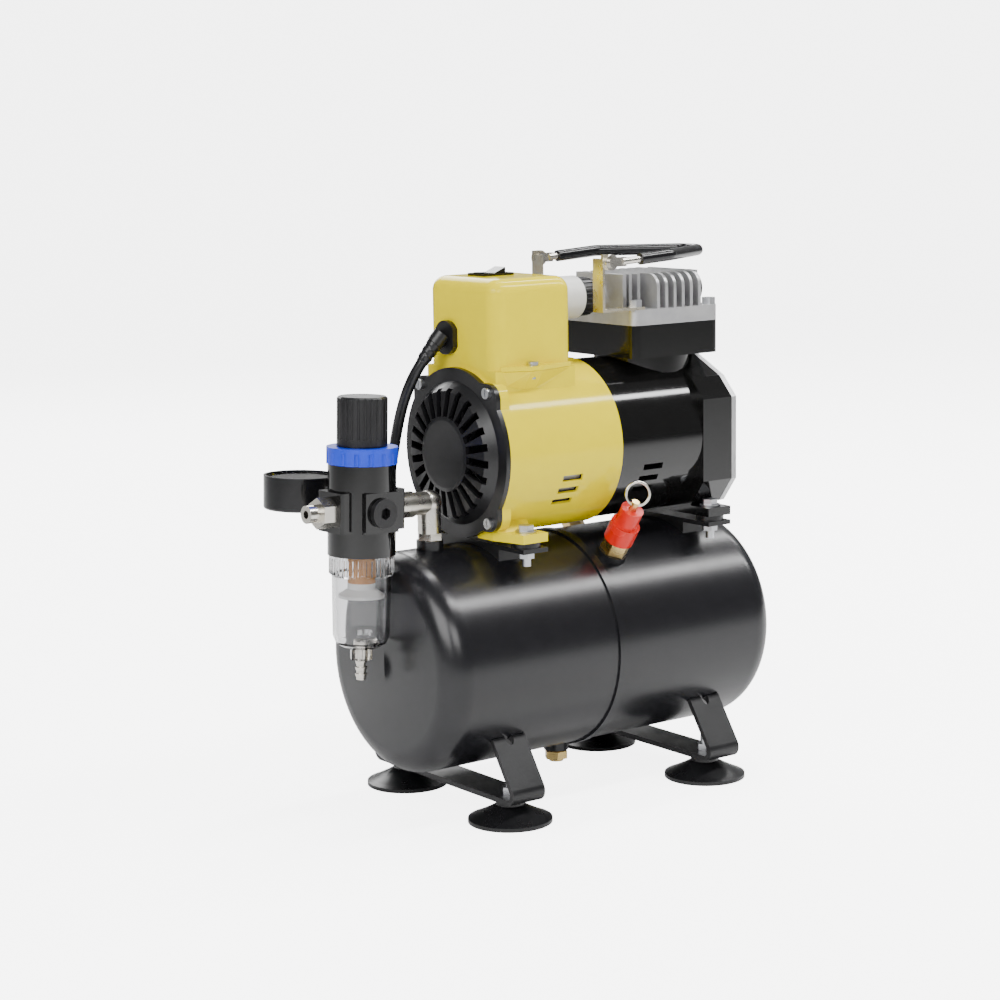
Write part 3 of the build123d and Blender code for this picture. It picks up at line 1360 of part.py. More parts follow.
def gauge_case():
    """Cup with its dial facing up, on a side stem screwed into the +Y port."""
    cup = bar_z(reg_x, gauge_y, gauge_z0, gauge_z1, gauge_r)
    cup = fillet(cup.edges().sort_by(Axis.Z)[0], 1.5)
    cup = cup - bar_z(reg_x, gauge_y, dial_z, gauge_z1 + 1, gauge_r - gauge_wall)
    pin = bar_z(reg_x, gauge_y, dial_z - 1, dial_z + 2.4, needle_pin_r)
    stem = rod((reg_x, reg_side_reach, reg_axis_z), (reg_x, gauge_y - gauge_r + 3, reg_axis_z), gauge_stem_r)
    thread = rod((reg_x, reg_side_reach - port_depth + 1, reg_axis_z), (reg_x, reg_side_reach, reg_axis_z), reg_port_r - seat_gap)
    nut = hex_bar((reg_x, reg_side_reach, reg_axis_z), (reg_x, reg_side_reach + 5, reg_axis_z), gauge_stem_r + 2.5)
    return cup + pin + stem + thread + nut


def gauge_lens():
    return bar_z(reg_x, gauge_y, gauge_z1 - 2.6, gauge_z1 - 1.0, gauge_r - gauge_wall - seat_gap)


def gauge_needle():
    """Pointer on the dial's pin, resting at zero."""
    z = dial_z + 1.2
    a = radians(needle_rest)
    hub = bar_z(reg_x, gauge_y, z, z + 1.0, 2.2)
    pointer = Pos(reg_x, gauge_y, z + 0.3) * Rot(0, 0, needle_rest) * Pos(needle_len / 2 - 2.5, 0, 0) * Box(needle_len, 1.0, 0.6)
    return hub + pointer - bar_z(reg_x, gauge_y, z - 1, z + 3, needle_pin_r + run_gap)


def filter_element():
    return tube((reg_x, 0, filter_z0), (reg_x, 0, reg_z0 + 6), filter_r, filter_bore_r)


def baffle_disc():
    """Disc and stem hanging under the filter element."""
    disc = around_z([(0, baffle_z), (baffle_r, baffle_z - 3), (baffle_r, baffle_z - 3 + baffle_thick),
                     (filter_r, baffle_z + baffle_thick), (filter_r, filter_z0), (0, filter_z0)], reg_x, 0)
    return disc + bar_z(reg_x, 0, filter_z0 - 1, reg_z0, filter_bore_r - seat_gap)


def filter_bowl():
    """Clear bowl: ribbed shoulder, straight wall, rounded bottom with the drain's hole."""
    r = bowl_r
    w = bowl_wall
    c = bowl_round
    points = [
        (shoulder_r, reg_z0), (shoulder_r, shoulder_z0), (r, shoulder_z0 - 1.5), (r - 0.6, bowl_z0 + c),
        (r - 2.4, bowl_z0 + 2.6), (r - c, bowl_z0), (barb_r + run_gap, bowl_z0), (barb_r + run_gap, bowl_z0 + w),
        (r - c, bowl_z0 + w), (r - 2.4 - w * 0.7, bowl_z0 + 2.6 + w * 0.7), (r - 0.6 - w, bowl_z0 + c + 0.5),
        (r - w, shoulder_z0 - 1.5), (r - w, reg_z0),
    ]
    bowl = around_z(points, reg_x, 0)
    for k in range(shoulder_ribs):
        a = radians(360 * k / shoulder_ribs)
        bowl = bowl - bar_z(reg_x + (shoulder_r + 0.5) * cos(a), (shoulder_r + 0.5) * sin(a), shoulder_z0 - 2, reg_z0 - 1.5, 1.0)
    return bowl


def drain_nut():
    nut = hex_bar((reg_x, 0, bowl_z0 - drain_nut_h), (reg_x, 0, bowl_z0), drain_nut_r)
    return nut - bar_z(reg_x, 0, bowl_z0 - drain_nut_h - 1, bowl_z0 + 1, barb_r + run_gap)


def bowl_drain():
    """Barbed drain that turns in its nut."""
    z1 = bowl_z0 + bowl_wall
    barb = bar_z(reg_x, 0, barb_tip_z, z1, barb_r)
    for k in range(barb_rings):
        z = barb_tip_z + 1 + k * barb_pitch
        barb = barb + Pos(reg_x, 0, z) * Cone(barb_r, barb_r + 0.9, barb_pitch * 0.7, align=(Align.CENTER, Align.CENTER, Align.MIN))
    top = bar_z(reg_x, 0, z1, z1 + 2.0, barb_r + 1.6)
    return barb + top - bar_z(reg_x, 0, barb_tip_z - 1, z1 + 3, barb_bore_r)


# ================================================================ assembly
def build():
    front, rear, bosses = make_tank()
    body, sleeve, stem = safety_valve()
    feet = [(x, y) for x in (-foot_x, foot_x) for y in (-foot_y, foot_y)]
    fasteners = [s for x, y in mount_points() for s in mount_fastener(x, y)]
    return {
        "tank_front_shell": front,
        "tank_rear_shell": rear,
        "tank_bosses": bosses,
        "leg_straps": group([leg_strap(-foot_x), leg_strap(foot_x)]),
        "suction_feet": group([suction_foot(x, y) for x, y in feet]),
        "foot_studs_and_nuts": group(foot_fasteners()),
        "tank_drain_screw": tank_drain(),
        "motor_saddles": group([motor_saddle(front_mount_x), motor_saddle(rear_mount_x)]),
        "isolator_rubbers": group([isolator(x, y) for x, y in mount_points()]),
        "mount_bolts_and_nuts": group(fasteners),
        "motor_housing": motor_housing(),
        "fan_cover": fan_cover(),
        "case_screws": group(case_screws()),
        "cooling_fan": cooling_fan(),
        "motor_shaft": motor_shaft(),
        "rotor_core": rotor_core(),
        "stator": group(stator()),
        "ball_bearings": group(ball_bearings()),
        "crankcase": crankcase(),
        "crankcase_end_plate": crankcase_end_plate(),
        "crank_eccentric": crank_eccentric(),
        "piston_rod_and_cup": group([connecting_rod(), piston_cup()]),
        "cylinder_block": cylinder_block(),
        "valve_plate": group(valve_plate()),
        "cylinder_head": cylinder_head(),
        "head_bolts": group(head_bolts()),
        "intake_filter": intake_filter(),
        "handle_brackets": group([handle_bracket(-1), handle_bracket(1)]),
        "handle_bail": handle_bail(),
        "handle_grip": handle_grip(),
        "handle_pins": group(handle_pins()),
        "electrical_box": electrical_box(),
        "switch_bezel": switch_bezel(),
        "switch_rocker": switch_rocker(),
        "run_capacitor": run_capacitor(),
        "cord_gland": cord_gland(),
        "power_cord": power_cord(),
        "cord_coil": cord_coil(),
        "power_plug": power_plug(),
        "pressure_switch": pressure_switch(),
        "brass_nuts": group(brass_nuts()),
        "delivery_tube": delivery_tube(),
        "safety_valve_body": body,
        "safety_valve_sleeve": sleeve,
        "safety_valve_stem": stem,
        "pull_ring": pull_ring(),
        "outlet_elbow": group(outlet_elbow()),
        "regulator_body": from_elbow(regulator_body()),
        "lock_ring": from_elbow(lock_ring()),
        "adjusting_screw": from_elbow(adjusting_screw()),
        "regulator_knob": from_elbow(regulator_knob()),
        "regulator_spring": from_elbow(regulator_spring()),
        "port_plug": from_elbow(port_plug()),
        "outlet_fitting": from_elbow(outlet_fitting()),
        "gauge_case": from_elbow(gauge_case()),
        "gauge_lens": from_elbow(gauge_lens()),
        "gauge_needle": from_elbow(gauge_needle()),
        "filter_element": group([from_elbow(filter_element()), from_elbow(baffle_disc())]),
        "filter_bowl": group([from_elbow(filter_bowl()), from_elbow(drain_nut())]),
        "bowl_drain": from_elbow(bowl_drain()),
    }


def write_parts():
    parts = build()
    cord_nodes = ("power_cord", "cord_coil", "power_plug")
    box = Compound(children=[copy(p) for n, p in parts.items() if n not in cord_nodes]).bounding_box()
    shift = Pos(-(box.min.X + box.max.X) / 2, -(box.min.Y + box.max.Y) / 2, 0)
    os.makedirs("parts", exist_ok=True)
    for name, shape in parts.items():
        solids = [shift * solid for solid in shape.solids()]
        export_step(solids[0] if len(solids) == 1 else Compound(solids), f"parts/{name}.step")
    print("moved by", round(shift.position.X, 3), round(shift.position.Y, 3))
    print("object box", box)


write_parts()
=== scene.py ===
# %% [markdown]
# # An airbrush compressor, finished in Blender
# A small oil-free compressor: a motor and piston pump bolted on a three-litre air tank, with a filter
# regulator hung from the tank's outlet. The exact shapes come from CAD as a fixed frame. This lesson gives
# them their surfaces, adds the flexible lead and the small trim, and sets up the studio.

# %% Load the frame
import json
import math

import bpy
from mathutils import Euler, Matrix, Vector

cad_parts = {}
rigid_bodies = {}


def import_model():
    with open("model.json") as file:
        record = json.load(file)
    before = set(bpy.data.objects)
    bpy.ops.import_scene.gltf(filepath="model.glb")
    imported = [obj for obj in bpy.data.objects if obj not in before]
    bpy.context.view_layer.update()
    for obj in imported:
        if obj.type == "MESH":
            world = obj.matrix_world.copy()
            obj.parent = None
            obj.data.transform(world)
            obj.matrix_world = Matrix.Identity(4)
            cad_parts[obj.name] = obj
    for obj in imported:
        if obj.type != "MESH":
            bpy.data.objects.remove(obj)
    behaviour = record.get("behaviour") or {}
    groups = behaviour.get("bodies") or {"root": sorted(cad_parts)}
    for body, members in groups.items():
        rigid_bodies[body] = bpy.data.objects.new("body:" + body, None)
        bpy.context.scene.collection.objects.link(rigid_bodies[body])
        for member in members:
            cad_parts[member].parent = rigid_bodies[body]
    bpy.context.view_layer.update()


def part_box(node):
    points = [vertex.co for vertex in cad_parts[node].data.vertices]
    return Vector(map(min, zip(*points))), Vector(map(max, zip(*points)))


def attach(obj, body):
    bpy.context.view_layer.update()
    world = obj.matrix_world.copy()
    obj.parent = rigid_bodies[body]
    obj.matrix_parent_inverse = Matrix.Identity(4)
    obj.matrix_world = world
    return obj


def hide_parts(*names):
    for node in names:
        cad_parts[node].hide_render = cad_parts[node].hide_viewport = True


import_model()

# %% [markdown]
# ## The camera
# A long lens held a little above the tank, looking across it from the regulator's corner. The long lens keeps
# the tank's two ends almost the same size. The camera is placed first, because everything else is judged
# through it. It is turned by a heading, a tilt and a very small roll, in that order.

# %% Camera
camera_place = Vector((-0.81809, -1.07920, 0.38729))
camera_heading = math.radians(53.24)
camera_tilt = math.radians(-9.171)
camera_roll = math.radians(-0.856)

camera = bpy.data.objects.new("studio_camera", bpy.data.cameras.new("studio_camera"))
bpy.context.scene.collection.objects.link(camera)
aim = Euler((math.radians(90) + camera_tilt, 0, camera_heading - math.radians(90))).to_matrix().to_4x4()
camera.matrix_world = Matrix.Translation(camera_place) @ aim @ Matrix.Rotation(camera_roll, 4, "Z")
camera.data.lens = 86.6
camera.data.sensor_width = 36
camera.data.clip_start = 0.05
camera.data.clip_end = 40
bpy.context.scene.camera = camera
print("camera", [round(v, 3) for v in camera_place], "lens", camera.data.lens)

# %% [markdown]
# ## The studio
# A white sweep: a floor that curves up into a wall, so that no horizon shows. Soft boxes give long soft
# highlights along the painted cylinders, which is how such a surface is read as round and glossy. The sweep
# is a profile pushed along one direction, the simplest mesh that can do this.

# %% Studio helpers
def add(name, data):
    """A new object in the scene."""
    made = bpy.data.objects.new(name, data)
    bpy.context.scene.collection.objects.link(made)
    return made


def mesh_from(name, vertices, faces, smooth=True):
    """A mesh object from points and faces."""
    data = bpy.data.meshes.new(name)
    data.from_pydata([tuple(v) for v in vertices], [], faces)
    data.update()
    if smooth:
        data.shade_smooth()
    return add(name, data)


def soft_box(name, place, target, width, height, watts):
    """A rectangular area light aimed at a point."""
    lamp = bpy.data.lights.new(name, "AREA")
    lamp.shape = "RECTANGLE"
    lamp.size = width
    lamp.size_y = height
    lamp.energy = watts
    made = add(name, lamp)
    place = Vector(place)
    made.location = place
    made.rotation_mode = "QUATERNION"
    made.rotation_quaternion = (Vector(target) - place).to_track_quat("-Z", "Y")
    return made


# %% Sweep, lights and sky
sweep_width = 9.0
sweep_bend = 1.4
bend_steps = 16
profile = [(-5.0, 0.0)]
for k in range(bend_steps + 1):
    a = math.radians(90) * k / bend_steps
    profile.append((3.2 + sweep_bend * math.sin(a), sweep_bend * (1 - math.cos(a))))
profile.append((3.2 + sweep_bend, 6.0))
sweep_points = [(side * sweep_width / 2, y, z) for y, z in profile for side in (-1, 1)]
sweep_faces = [(2 * k, 2 * k + 1, 2 * k + 3, 2 * k + 2) for k in range(len(profile) - 1)]
sweep = mesh_from("studio_sweep", sweep_points, sweep_faces)
sweep.rotation_euler = (0, 0, camera_heading - math.radians(90))

middle = (0.0, 0.0, 0.16)
soft_box("left_box", (-1.7, -0.6, 1.1), middle, 1.3, 1.1, 30)
soft_box("front_box", (-1.0, -1.9, 1.3), middle, 1.0, 0.8, 18)
soft_box("upper_strip", (1.05, -0.65, 1.40), (1.05, 0.0, 0.19), 2.2, 0.16, 34)
soft_box("top_strip", (0.93, 0.18, 1.42), (0.93, 0.0, 0.19), 2.2, 0.12, 24)
soft_box("rear_box", (0.6, 1.7, 1.2), middle, 1.3, 0.8, 26)

sky = bpy.data.worlds.new("studio_sky")
bpy.context.scene.world = sky
sky.use_nodes = True
sky.node_tree.nodes["Background"].inputs["Color"].default_value = (1.0, 1.0, 1.0, 1)
sky.node_tree.nodes["Background"].inputs["Strength"].default_value = 0.14

# %% [markdown]
# ## The mains lead
# A round rubber lead, 6.2 mm thick and about 1.6 m long. It leaves the wiring box through a boot, drops behind
# the fan cover under its own weight, reaches the bench behind the tank, and the rest is put away as a neat
# coil of six turns in two layers. One NURBS spline carries all of it, because a single smooth curve has no
# kinks where one stretch meets the next. Its control points are the route below, then the turns of the coil.

# %% Route of the lead, in metres about the tank's middle
moved = Vector((0.02557, -0.00111, 0.0))
lead_radius = 0.0031
route = [
    (-0.0725, 0.0124, 0.2605),
    (-0.0795, 0.0160, 0.2505),
    (-0.0840, 0.0235, 0.2355),
    (-0.0845, 0.0325, 0.2165),
    (-0.0830, 0.0420, 0.1920),
    (-0.0795, 0.0550, 0.1640),
    (-0.0770, 0.0655, 0.1340),
    (-0.0735, 0.0740, 0.1020),
    (-0.0680, 0.0795, 0.0710),
    (-0.0585, 0.0835, 0.0420),
    (-0.0445, 0.0875, 0.0185),
    (-0.0270, 0.0900, 0.0055),
]
coil_middle = Vector((0.008, 0.129, 0.0))
outer_turn = 0.0404
turn_pitch = 0.0064
coil_start = math.radians(-118)
points_per_turn = 16
# Turns made so far, then the lane counted inwards, then the height of the lead's middle.
coil_lanes = [
    (0.00, -1.0, 0.0035),
    (0.12, -1.0, 0.0035),
    (0.32, 0.0, 0.0035),
    (1.12, 0.0, 0.0035),
    (1.32, 1.0, 0.0035),
    (2.12, 1.0, 0.0035),
    (2.32, 2.0, 0.0035),
    (3.12, 2.0, 0.0035),
    (3.27, 2.8, 0.0066),
    (3.42, 2.0, 0.0098),
    (4.12, 2.0, 0.0098),
    (4.32, 1.0, 0.0098),
    (5.12, 1.0, 0.0098),
    (5.32, 0.0, 0.0098),
    (6.07, 0.0, 0.0098),
]


def coil_point(turn):
    """A point of the coil after a number of turns."""
    for (t0, lane0, z0), (t1, lane1, z1) in zip(coil_lanes, coil_lanes[1:]):
        if turn <= t1:
            share = (turn - t0) / (t1 - t0)
            radius = outer_turn - turn_pitch * (lane0 + share * (lane1 - lane0))
            a = coil_start + 2 * math.pi * turn
            return coil_middle + Vector((radius * math.cos(a), radius * math.sin(a), z0 + share * (z1 - z0)))
    raise ValueError("past the coil's end")


coil_turns = coil_lanes[-1][0]
coil_points = [coil_point(k / points_per_turn) for k in range(int(coil_turns * points_per_turn) + 1)]
print("coil has", len(coil_points), "points in", coil_turns, "turns")

# %% [markdown]
# The coil changes lane in one place only, so neighbouring turns shift side by side and never cross. The last
# turn leaves on the near side and climbs into the neck of the plug, which lies higher because the plug is fat.

# %% The lead as one spline
to_plug = [
    (0.0140, 0.0886, 0.0102),
    (0.0240, 0.0910, 0.0124),
    (0.0340, 0.0942, 0.0160),
    (0.0430, 0.0950, 0.0175),
]
lead_points = [Vector(p) for p in route] + coil_points + [Vector(p) for p in to_plug]


def spline_object(name, points, radius):
    """A smooth round cord through control points."""
    data = bpy.data.curves.new(name, "CURVE")
    data.dimensions = "3D"
    data.bevel_depth = 1.0
    data.bevel_resolution = 5
    data.use_fill_caps = True
    data.resolution_u = 6
    spline = data.splines.new("NURBS")
    spline.points.add(len(points) - 1)
    for knot, p in zip(spline.points, points):
        knot.co = (*(Vector(p) + moved), 1)
        knot.radius = radius
    spline.order_u = 3
    spline.use_endpoint_u = True
    return add(name, data)


def line_points(curve):
    """The points along a curve's own line, read from a copy with no thickness."""
    plain = curve.copy()
    plain.data = curve.data.copy()
    plain.data.bevel_depth = 0
    bpy.context.scene.collection.objects.link(plain)
    bpy.context.view_layer.update()
    graph = bpy.context.evaluated_depsgraph_get()
    line = bpy.data.meshes.new_from_object(plain.evaluated_get(graph))
    found = [v.co.copy() for v in line.vertices]
    bpy.data.objects.remove(plain)
    return found


mains_lead = spline_object("mains_lead", lead_points, lead_radius)
lead_line = line_points(mains_lead)
lead_length = sum((b - a).length for a, b in zip(lead_line, lead_line[1:]))
print("lead is", round(lead_length, 3), "m long")
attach(mains_lead, "chassis")
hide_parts("power_cord", "cord_coil")

# %% [markdown]
# ## What is on the lead
# Where the lead leaves the box a soft ribbed sleeve keeps it from kinking. It is a body of revolution bent
# along the lead, so it is made from rings placed square to the lead's own line. The rings' radius falls from
# the boot's to the lead's, with a shallow groove every few millimetres. A flat tie holds the coil together.

# %% Sleeve helper
def walk(points, start, end, step):
    """Points and directions along a line, from one distance to another."""
    found = []
    done = 0.0
    goal = start
    for a, b in zip(points, points[1:]):
        length = (b - a).length
        while length and done + length >= goal and goal <= end:
            found.append((a.lerp(b, (goal - done) / length), (b - a).normalized()))
            goal += step
        done += length
    return found


def rings_mesh(name, rings, sides=40):
    """A closed tube through (centre, direction, radius) rings."""
    vertices = []
    faces = []
    for centre, direction, radius in rings:
        turn = direction.to_track_quat("Z", "Y")
        for k in range(sides):
            a = 2 * math.pi * k / sides
            vertices.append(centre + turn @ Vector((radius * math.cos(a), radius * math.sin(a), 0)))
    for r in range(len(rings) - 1):
        for k in range(sides):
            n = (k + 1) % sides
            faces.append((r * sides + k, r * sides + n, (r + 1) * sides + n, (r + 1) * sides + k))
    faces.append(tuple(reversed(range(sides))))
    faces.append(tuple(range((len(rings) - 1) * sides, len(rings) * sides)))
    return mesh_from(name, vertices, faces)


# %% Strain relief
sleeve_length = 0.013
sleeve_thick = 0.0046
groove_pitch = 0.0042
groove_depth = 0.0003
sleeve_rings = []
for centre, direction in walk(lead_line, 0.0, sleeve_length, 0.0004):
    share = (len(sleeve_rings) * 0.0004) / sleeve_length
    radius = sleeve_thick + (lead_radius + 0.0005 - sleeve_thick) * share
    groove = (len(sleeve_rings) * 0.0004 % groove_pitch) / groove_pitch
    radius -= groove_depth * (1 if groove > 0.66 else 0)
    sleeve_rings.append((centre, direction, radius))
strain_relief = rings_mesh("strain_relief", sleeve_rings)
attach(strain_relief, "chassis")
print("strain relief", len(sleeve_rings), "rings")

# %% Tie round the coil
tie_angle = math.radians(60)
tie_width = 0.006
tie_thick = 0.0007
tie_inner = outer_turn - 2 * turn_pitch - lead_radius - 0.0006
tie_outer = outer_turn + lead_radius + 0.0006
tie_top = coil_lanes[-1][2] + lead_radius + 0.0006
tie_corner = 0.003
outline = []
corners = [(tie_outer, tie_top, 0), (tie_inner, tie_top, 90), (tie_inner, 0.0, 180), (tie_outer, 0.0, 270)]
for r, z, first in corners:
    inward_r = r - math.copysign(tie_corner, r - (tie_inner + tie_outer) / 2)
    inward_z = z - math.copysign(tie_corner, z - tie_top / 2)
    for k in range(7):
        a = math.radians(first + 15 * k)
        outline.append((inward_r + tie_corner * math.cos(a), inward_z + tie_corner * math.sin(a)))
out = Vector((math.cos(tie_angle), math.sin(tie_angle), 0))
along_turn = Vector((-math.sin(tie_angle), math.cos(tie_angle), 0))
tie_points = []
for r, z in outline:
    for side in (-1, 1):
        beside = along_turn * side * tie_width / 2
        tie_points.append(moved + coil_middle + out * r + beside + Vector((0, 0, z + tie_thick)))
tie_count = len(tie_points)
tie_faces = [
    (2 * k, 2 * k + 1, (2 * k + 3) % tie_count, (2 * k + 2) % tie_count) for k in range(len(outline))
]
coil_tie = mesh_from("coil_tie", tie_points, tie_faces)
shell = coil_tie.modifiers.new("thickness", "SOLIDIFY")
shell.thickness = tie_thick
shell.offset = 0
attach(coil_tie, "chassis")

# %% [markdown]
# ## Shared surface effects
# Real surfaces are never one even value. Four effects return on several of them: a fine grain, the orange peel of
# sprayed paint, rubbed edges that also carry a painted highlight, and a little dust on top. Each is a node group,
# built once, that puts out only masks, values or heights. The shader stays in each material.

# %% Group helper
def new_group(name, inputs, outputs):
    """An empty shader node group with float sockets."""
    group = bpy.data.node_groups.new(name, "ShaderNodeTree")
    for socket, value in inputs:
        made = group.interface.new_socket(socket, in_out="INPUT", socket_type="NodeSocketFloat")
        made.default_value = value
    for socket in outputs:
        group.interface.new_socket(socket, in_out="OUTPUT", socket_type="NodeSocketFloat")
    return group, group.nodes.new("NodeGroupInput"), group.nodes.new("NodeGroupOutput")


def noise_of(group, scale, detail=3.0, roughness=0.55, stretch=None):
    """A noise texture in object space; scale is a value or a socket."""
    place = group.nodes.new("ShaderNodeTexCoord").outputs["Object"]
    if stretch:
        mapping = group.nodes.new("ShaderNodeMapping")
        mapping.inputs["Scale"].default_value = stretch
        group.links.new(place, mapping.inputs["Vector"])
        place = mapping.outputs["Vector"]
    noise = group.nodes.new("ShaderNodeTexNoise")
    noise.inputs["Detail"].default_value = detail
    noise.inputs["Roughness"].default_value = roughness
    group.links.new(place, noise.inputs["Vector"])
    if isinstance(scale, (int, float)):
        noise.inputs["Scale"].default_value = scale
    else:
        group.links.new(scale, noise.inputs["Scale"])
    return noise.outputs["Fac"]


def ranged(group, value, low, high, to_low, to_high):
    """A value mapped from one range to another, clamped."""
    node = group.nodes.new("ShaderNodeMapRange")
    for socket, entry in (("From Min", low), ("From Max", high), ("To Min", to_low), ("To Max", to_high)):
        if isinstance(entry, (int, float)):
            node.inputs[socket].default_value = entry
        else:
            group.links.new(entry, node.inputs[socket])
    group.links.new(value, node.inputs["Value"])
    return node.outputs["Result"]


def maths(group, operation, a, b):
    """One arithmetic step."""
    node = group.nodes.new("ShaderNodeMath")
    node.operation = operation
    for index, entry in enumerate((a, b)):
        if isinstance(entry, (int, float)):
            node.inputs[index].default_value = entry
        else:
            group.links.new(entry, node.inputs[index])
    return node.outputs["Value"]


# %% Uneven gloss and fine grain
uneven, took, gives = new_group("Uneven gloss", [("Smooth", 0.2), ("Dull", 0.3), ("Patch Scale", 60.0)], ["Roughness"])
patches = noise_of(uneven, took.outputs["Patch Scale"], detail=5.0)
uneven.links.new(
    ranged(uneven, patches, 0.35, 0.68, took.outputs["Smooth"], took.outputs["Dull"]), gives.inputs["Roughness"]
)

grain, took, gives = new_group("Grain", [("Scale", 1500.0), ("Coarse Scale", 300.0), ("Coarse Share", 0.3)], ["Height"])
fine = noise_of(grain, took.outputs["Scale"], detail=2.0)
coarse = noise_of(grain, took.outputs["Coarse Scale"], detail=2.0)
mixed = maths(grain, "ADD", fine, maths(grain, "MULTIPLY", coarse, took.outputs["Coarse Share"]))
grain.links.new(mixed, gives.inputs["Height"])

# %% Rubbed edges and painted edge highlights
# This mask gives edges a lighter colour: partly rubbed wear, partly a painted highlight along the edge.
edge_wear_and_highlight, took, gives = new_group("Rubbed edges and painted highlights", [("Width", 0.0006), ("Amount", 0.5)], ["Mask"])
rounded = edge_wear_and_highlight.nodes.new("ShaderNodeBevel")
rounded.samples = 4
edge_wear_and_highlight.links.new(took.outputs["Width"], rounded.inputs["Radius"])
geometry = edge_wear_and_highlight.nodes.new("ShaderNodeNewGeometry")
facing = edge_wear_and_highlight.nodes.new("ShaderNodeVectorMath")
facing.operation = "DOT_PRODUCT"
edge_wear_and_highlight.links.new(rounded.outputs["Normal"], facing.inputs[0])
edge_wear_and_highlight.links.new(geometry.outputs["Normal"], facing.inputs[1])
edge = ranged(edge_wear_and_highlight, facing.outputs["Value"], 0.995, 0.9, 0.0, 1.0)
broken = ranged(edge_wear_and_highlight, noise_of(edge_wear_and_highlight, 220.0, detail=4.0), 0.42, 0.6, 0.15, 1.0)
edge_wear_and_highlight.links.new(
    maths(edge_wear_and_highlight, "MULTIPLY", maths(edge_wear_and_highlight, "MULTIPLY", edge, broken), took.outputs["Amount"]),
    gives.inputs["Mask"],
)

# %% Dust that settles on what faces up
dust, took, gives = new_group("Settled dust", [("Amount", 0.1)], ["Mask"])
geometry = dust.nodes.new("ShaderNodeNewGeometry")
split = dust.nodes.new("ShaderNodeSeparateXYZ")
dust.links.new(geometry.outputs["Normal"], split.inputs["Vector"])
upward = ranged(dust, split.outputs["Z"], 0.3, 1.0, 0.0, 1.0)
specks = ranged(dust, noise_of(dust, 900.0, detail=6.0, roughness=0.7), 0.5, 0.75, 0.0, 1.0)
dust.links.new(
    maths(dust, "MULTIPLY", maths(dust, "MULTIPLY", upward, specks), took.outputs["Amount"]), gives.inputs["Mask"]
)
print("effects", [g.name for g in (uneven, grain, edge_wear_and_highlight, dust)])

# %% [markdown]
# ## One maker for the solid finishes
# All the opaque surfaces differ only in a few numbers: their colour, how metallic and how smooth they are,
# the size and depth of their grain, and how much their edges are rubbed and lit by a painted highlight. So one
# function makes them, and each finish below is a call with its own values and a sentence on what it is.

# %% Finish maker
def place_group(tree, group, **values):
    """A node group in a material, with its inputs set."""
    node = tree.nodes.new("ShaderNodeGroup")
    node.node_tree = group
    for socket, value in values.items():
        node.inputs[socket.replace("_", " ").title()].default_value = value
    return node


def mixed_colour(tree, mask, a, b):
    """Colour a where the mask is 0 and colour b where it is 1."""
    node = tree.nodes.new("ShaderNodeMix")
    node.data_type = "RGBA"
    tree.links.new(mask, node.inputs["Factor"])
    for socket, colour in ((node.inputs[6], a), (node.inputs[7], b)):
        if isinstance(colour, tuple):
            socket.default_value = (*colour, 1)
        else:
            tree.links.new(colour, socket)
    return node.outputs[2]


def finish_of(name, colour, smooth, dull, metallic=0.0, tint=None, grain_scale=1500.0, grain_depth=0.00002,
              coarse=0.3, coat=0.0, worn_and_highlight_colour=None, wear_and_highlight=0.4, dusty=0.0, patch=60.0, shine=0.5):
    """An opaque material with grain, uneven gloss, rubbed edges with a painted highlight, and dust."""
    made = bpy.data.materials.new(name)
    made.use_nodes = True
    tree = made.node_tree
    shader = tree.nodes["Principled BSDF"]
    shader.inputs["Metallic"].default_value = metallic
    shader.inputs["Specular IOR Level"].default_value = shine
    shader.inputs["Coat Weight"].default_value = coat
    shader.inputs["Coat Roughness"].default_value = 0.06
    gloss = place_group(tree, uneven, smooth=smooth, dull=dull, patch_scale=patch)
    tree.links.new(gloss.outputs["Roughness"], shader.inputs["Roughness"])
    cloud = ranged(tree, noise_of(tree, patch * 1.7), 0.35, 0.65, 0.0, 1.0)
    base = mixed_colour(tree, cloud, colour, tint or tuple(0.88 * c for c in colour))
    # Along edges the colour turns lighter: rubbed wear and a painted highlight.
    if worn_and_highlight_colour:
        rub_and_highlight = place_group(tree, edge_wear_and_highlight, width=0.0005, amount=wear_and_highlight)
        base = mixed_colour(tree, rub_and_highlight.outputs["Mask"], base, worn_and_highlight_colour)
    if dusty:
        settled = place_group(tree, dust, amount=dusty)
        base = mixed_colour(tree, settled.outputs["Mask"], base, (0.30, 0.29, 0.27))
    tree.links.new(base, shader.inputs["Base Color"])
    height = place_group(tree, grain, scale=grain_scale, coarse_scale=grain_scale / 6, coarse_share=coarse)
    bump = tree.nodes.new("ShaderNodeBump")
    bump.inputs["Strength"].default_value = 1.0
    bump.inputs["Distance"].default_value = grain_depth
    tree.links.new(height.outputs["Height"], bump.inputs["Height"])
    tree.links.new(bump.outputs["Normal"], shader.inputs["Normal"])
    return made


# %% [markdown]
# ## Paints
# The tank has a satin black stove enamel with a slight orange peel, the motor a glossy yellow one, and the
# crankcase and cylinder a glossy black. The straps and saddles are dipped in a flatter black.

# %% Paint finishes
tank_black = finish_of("satin_black_enamel", (0.010, 0.010, 0.012), 0.25, 0.27, grain_scale=420,
                       grain_depth=0.000008, coarse=0.0)
gloss_black = finish_of("gloss_black_enamel", (0.005, 0.005, 0.005), 0.09, 0.11, grain_scale=380,
                        grain_depth=0.000005, coarse=0.0, shine=0.6)
# The flat black's lighter edge colour is rubbed wear and a painted highlight.
flat_black = finish_of("flat_black_enamel", (0.010, 0.010, 0.011), 0.34, 0.44, grain_scale=700, grain_depth=0.00003,
                       worn_and_highlight_colour=(0.10, 0.10, 0.10), wear_and_highlight=0.3)
yellow_paint = finish_of("yellow_enamel", (0.84, 0.68, 0.001), 0.11, 0.14, tint=(0.82, 0.66, 0.001),
                         shine=0.22, grain_scale=320, grain_depth=0.000005, coarse=0.0)
